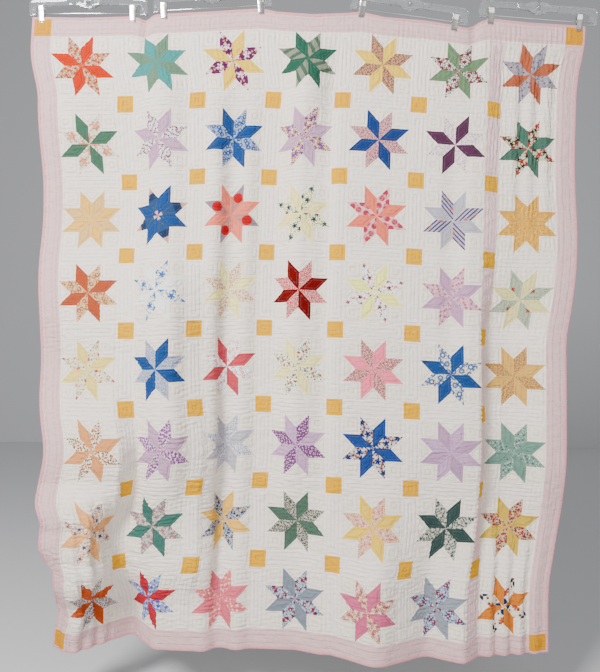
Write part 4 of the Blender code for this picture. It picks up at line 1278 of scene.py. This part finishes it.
def new_rod(name, radius, start, end, sides=28):
    """A straight round rod between two points, its ends a little eased."""
    axis = Vector(end) - Vector(start)
    bpy.ops.mesh.primitive_cylinder_add(
        vertices=sides, radius=radius, depth=axis.length, location=(Vector(start) + Vector(end)) / 2.0,
        rotation=axis.to_track_quat("Z", "Y").to_euler())
    rod = bpy.context.active_object
    rod.name = name
    bpy.ops.object.transform_apply(location=True, rotation=True, scale=True)
    add_modifier(rod, "BEVEL", width=radius * 0.25, segments=2, limit_method="ANGLE")
    return settle(rod)


def new_tube(name, route, radius, sides=5):
    """A bent round wire with closed ends along a route."""
    curve = bpy.data.curves.new(name, "CURVE")
    curve.dimensions = "3D"
    curve.bevel_depth = radius
    curve.bevel_resolution = sides
    curve.use_fill_caps = True
    spline = curve.splines.new("POLY")
    spline.points.add(len(route) - 1)
    for point, place in zip(spline.points, route):
        point.co = (*place, 1.0)
    tube = bpy.data.objects.new(name, curve)
    bpy.context.scene.collection.objects.link(tube)
    return settle(tube)


def model_hook(reach):
    """The hook in its hanger's frame; reach is how far its seat is above the wire."""
    centre = reach - (HOOK_RADIUS - HOOK_WIRE)
    neck = centre - HOOK_RADIUS
    route = [(0.0, 0.0, WINDOW_HIGH - HEAD_TALL / 2.0), (0.0, 0.0, neck - 2.0 * HOOK_NECK)]
    bend = []
    for degrees in range(HOOK_FIRST, HOOK_LAST + 1, BEND_DEGREES):
        angle = math.radians(degrees)
        bend.append(Vector((0.0, -HOOK_RADIUS * math.cos(angle), centre + HOOK_RADIUS * math.sin(angle))))
    start = Vector((0.0, 0.0, neck - HOOK_NECK))
    knee = Vector((0.0, 0.0, neck + NECK_KNEE))
    for step in range(NECK_STEPS + 1):
        t = step / NECK_STEPS
        route.append((1.0 - t) ** 2 * start + 2.0 * t * (1.0 - t) * knee + t * t * bend[0])
    hook = new_tube("hook", route + bend[1:], HOOK_WIRE)
    high = WINDOW_HIGH - HEAD_PLAY
    new_rod("hook_head", HEAD_RADIUS, (0.0, 0.0, high - HEAD_TALL), (0.0, 0.0, high))
    hook.select_set(True)
    bpy.context.view_layer.objects.active = hook
    bpy.ops.object.join()
    return hook


wire = new_rod("wire_mould", WIRE_RADIUS, (-WIRE_HALF, 0.0, 0.0), (WIRE_HALF, 0.0, 0.0))
for name, (place, _, _) in hanger_places.items():
    stand(wire, name + "_steel_wire", place, name + "_wire", bright_steel)
    tilt_cosine = place.to_3x3()[2][2]
    hook = model_hook(-place.translation.z / tilt_cosine)
    stand(hook, name + "_swivel_hook", place, name + "_hook", bright_steel)
    bpy.data.objects.remove(hook)
bpy.data.objects.remove(wire)


# The clips
# Each is two stamped jaws of nickel-plated steel that rock on the wire, with a small coil
# spring between. The lips pinch the quilt's bound edge.

JAW_WIDTH = 0.0175
JAW_SHEET = 0.0010
JAW_GRIP = 0.0029
# A jaw's inner line from its lever to its lip: name, off the grip, above the wire
JAW_LINE = (
    ("lever", 0.0055, 0.0225), ("knee", 0.0022, 0.0060), ("waist", 0.0016, -0.0050),
    ("lip", 0.0000, -0.0235), ("toe", 0.0012, -0.0290),
)
EAR_THICK = 0.0010
EAR_LOW = -0.0035
EAR_HIGH = 0.0045
EAR_INSET = 0.0004
EAR_EASE = 0.0003
JAW_CORNER = 0.0022
JAW_BEND = 0.0016
JAW_EASE = 0.00022
PRESS_ABOVE = 0.004
PRESS_INSET = 0.0030
PRESS_DEPTH = 0.0005
SPRING_LENGTH = 0.0075
SPRING_RADIUS = 0.00255
SPRING_WIRE = 0.00042
SPRING_TURNS = 7
SPRING_LEG = 0.0105
SPRING_LEG_OUT = 0.0030

nickel_plate = finish_material("nickel_plate", (0.78, 0.76, 0.72), 1.0, 0.24)
nickel_tree = nickel_plate.node_tree
worn_places = add_node(nickel_tree, "TexCoord", {}).outputs["Object"]
worn_inputs = {"Scale": 160.0, "Detail": 3.0, "Vector": worn_places}
worn = add_node(nickel_tree, "TexNoise", worn_inputs).outputs["Fac"]
dulled = math_node(nickel_tree, "ADD", math_node(nickel_tree, "MULTIPLY", worn, 0.16), 0.14)
nickel_tree.links.new(dulled, nickel_tree.nodes["Principled BSDF"].inputs["Roughness"])


def model_jaw(side):
    """One jaw in its clip's frame: a bent plate with a pressed lever and two ears; side -1 is the front."""
    half = JAW_WIDTH / 2.0
    bpy.ops.mesh.primitive_plane_add(size=1.0, rotation=(math.pi / 2.0, 0.0, 0.0))
    jaw = bpy.context.active_object
    jaw.name = "jaw_mould"
    bpy.ops.object.transform_apply(location=True, rotation=True, scale=True)
    bpy.ops.object.mode_set(mode="EDIT")
    for edge_z, (_, off, above) in ((0.5, JAW_LINE[0]), (-0.5, JAW_LINE[1])):
        pick("verts", lambda middle, vert: near(middle.z, edge_z))
        bpy.ops.transform.resize(value=(JAW_WIDTH, 1.0, 1.0))
        move(0.0, side * (JAW_GRIP + off), above - edge_z)
    for (_, off, above), (_, next_off, next_above) in zip(JAW_LINE[1:], JAW_LINE[2:]):
        pick("edges", lambda middle, edge: near(middle.z, above) and edge.is_boundary and near(middle.x, 0.0))
        extrude(0.0, side * (next_off - off), next_above - above)
    low, high = JAW_LINE[-1][2], JAW_LINE[0][2]
    pick("verts", lambda middle, vert: near(middle.z, low) or near(middle.z, high))
    bpy.ops.mesh.bevel(offset=JAW_CORNER, segments=3, affect="VERTICES")
    for above in (JAW_LINE[1][2], JAW_LINE[3][2]):
        pick("edges", lambda middle, edge: near(middle.z, above) and near(middle.x, 0.0))
        bpy.ops.mesh.bevel(offset=JAW_BEND, segments=3, affect="EDGES")
    pick("faces", lambda middle, face: middle.z > JAW_LINE[1][2] + PRESS_ABOVE)
    bpy.ops.mesh.inset(thickness=PRESS_INSET)
    move(0.0, side * PRESS_DEPTH, 0.0)
    bpy.ops.object.mode_set(mode="OBJECT")
    outwards = jaw.data.polygons[0].normal.y * side > 0.0
    add_modifier(jaw, "SOLIDIFY", thickness=JAW_SHEET, offset=1.0 if outwards else -1.0)
    add_modifier(
        jaw, "BEVEL", width=JAW_EASE, segments=2, limit_method="ANGLE", angle_limit=math.radians(50.0))
    settle(jaw)
    depths = sorted((side * (WIRE_RADIUS + 0.0003), side * (JAW_GRIP + 0.0026)))
    for end in (1.0, -1.0):
        along = sorted((end * (half - EAR_INSET), end * (half - EAR_INSET - EAR_THICK)))
        ear = new_box("ear", (along[0], depths[0], EAR_LOW), (along[1], depths[1], EAR_HIGH))
        add_modifier(ear, "BEVEL", width=EAR_EASE, segments=2)
        settle(ear)
        jaw.select_set(True)
        bpy.context.view_layer.objects.active = jaw
        bpy.ops.object.join()
    return jaw


def model_spring():
    """The coil on the wire, with a leg to each lever."""
    half = SPRING_LENGTH / 2.0 - SPRING_WIRE
    route = [(-half, -SPRING_RADIUS - SPRING_LEG_OUT, SPRING_LEG)]
    steps = 20 * SPRING_TURNS
    for step in range(steps + 1):
        angle = math.radians(180.0) - 2.0 * math.pi * (SPRING_TURNS + 0.5) * step / steps
        x = -half + 2.0 * half * step / steps
        route.append((x, SPRING_RADIUS * math.cos(angle), SPRING_RADIUS * math.sin(angle)))
    route.append((half, SPRING_RADIUS + SPRING_LEG_OUT, SPRING_LEG))
    return new_tube("spring_mould", route, SPRING_WIRE, sides=2)


moulds = {"front_jaw": model_jaw(-1.0), "back_jaw": model_jaw(1.0), "spring": model_spring()}
for name, (place, left, right) in hanger_places.items():
    for label, along in (("left", left), ("right", right)):
        clip = place @ Matrix.Translation((along, 0.0, 0.0))
        for part, mould in moulds.items():
            node = f"{name}_{label}_{part}"
            stand(mould, "clip_" + node, clip, node, nickel_plate)
for mould in moulds.values():
    bpy.data.objects.remove(mould)


# The studio: a pale floor, a backdrop far behind, one broad soft light a little left, even fill
FLOOR_DROP = 0.16
FLOOR_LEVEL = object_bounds()[0][2] - FLOOR_DROP
BACKDROP_BEHIND = 5.5
paper = finish_material("pale_paper", (0.72, 0.72, 0.73), 0.0, 0.9)
for name, place, turn, size in (
        ("studio_floor", (0.3, -0.6, FLOOR_LEVEL), 0.0, (18.0, 14.0)),
        ("studio_backdrop", (0.3, BACKDROP_BEHIND, 0.6), math.pi / 2.0, (18.0, 9.0))):
    bpy.ops.mesh.primitive_plane_add(size=1.0, location=place, rotation=(turn, 0.0, 0.0))
    surface = bpy.context.active_object
    surface.name = name
    surface.scale = (*size, 1.0)
    surface.data.materials.append(paper)


def soft_light(name, place, target, size, power):
    """A square soft light that looks at a place."""
    lamp = bpy.data.lights.new(name, "AREA")
    lamp.shape = "SQUARE"
    lamp.size = size
    lamp.energy = power
    holder = bpy.data.objects.new(name, lamp)
    bpy.context.scene.collection.objects.link(holder)
    holder.location = place
    holder.rotation_euler = (Vector(target) - Vector(place)).to_track_quat("-Z", "Y").to_euler()
    return holder


soft_light("key_light", place=(-1.25, -2.4, 0.45), target=(0.30, 0.0, -0.95), size=0.9, power=185.0)
soft_light("fill_light", place=(1.6, -2.7, -0.5), target=(0.3, 0.0, -1.1), size=2.2, power=30.0)
world = bpy.data.worlds.new("studio_air")
world.use_nodes = True
air = world.node_tree.nodes["Background"].inputs
air["Color"].default_value = (0.95, 0.97, 1.0, 1.0)
air["Strength"].default_value = 0.36
bpy.context.scene.world = world


# The camera, close in front and a little below the middle, tipped up and leaning a little
PICTURE_WIDTH = 600
FOCAL_PIXELS = 625
CENTRE_OFF = 3
TIPPED_UP = math.radians(1.9)
LEANING = 0.0109
CAMERA_PLACE = (0.2903, -1.849, -1.1559)
lens = bpy.data.cameras.new("camera")
lens.sensor_fit = "HORIZONTAL"
lens.sensor_width = 36.0
lens.lens = lens.sensor_width * FOCAL_PIXELS / PICTURE_WIDTH
lens.shift_x = -CENTRE_OFF / PICTURE_WIDTH
lens.clip_start = 0.02
camera = bpy.data.objects.new("camera", lens)
bpy.context.scene.collection.objects.link(camera)
tipped = Matrix.Rotation(math.pi / 2.0 + TIPPED_UP, 4, "X") @ Matrix.Rotation(LEANING, 4, "Z")
camera.matrix_world = Matrix.Translation(CAMERA_PLACE) @ tipped
bpy.context.scene.camera = camera
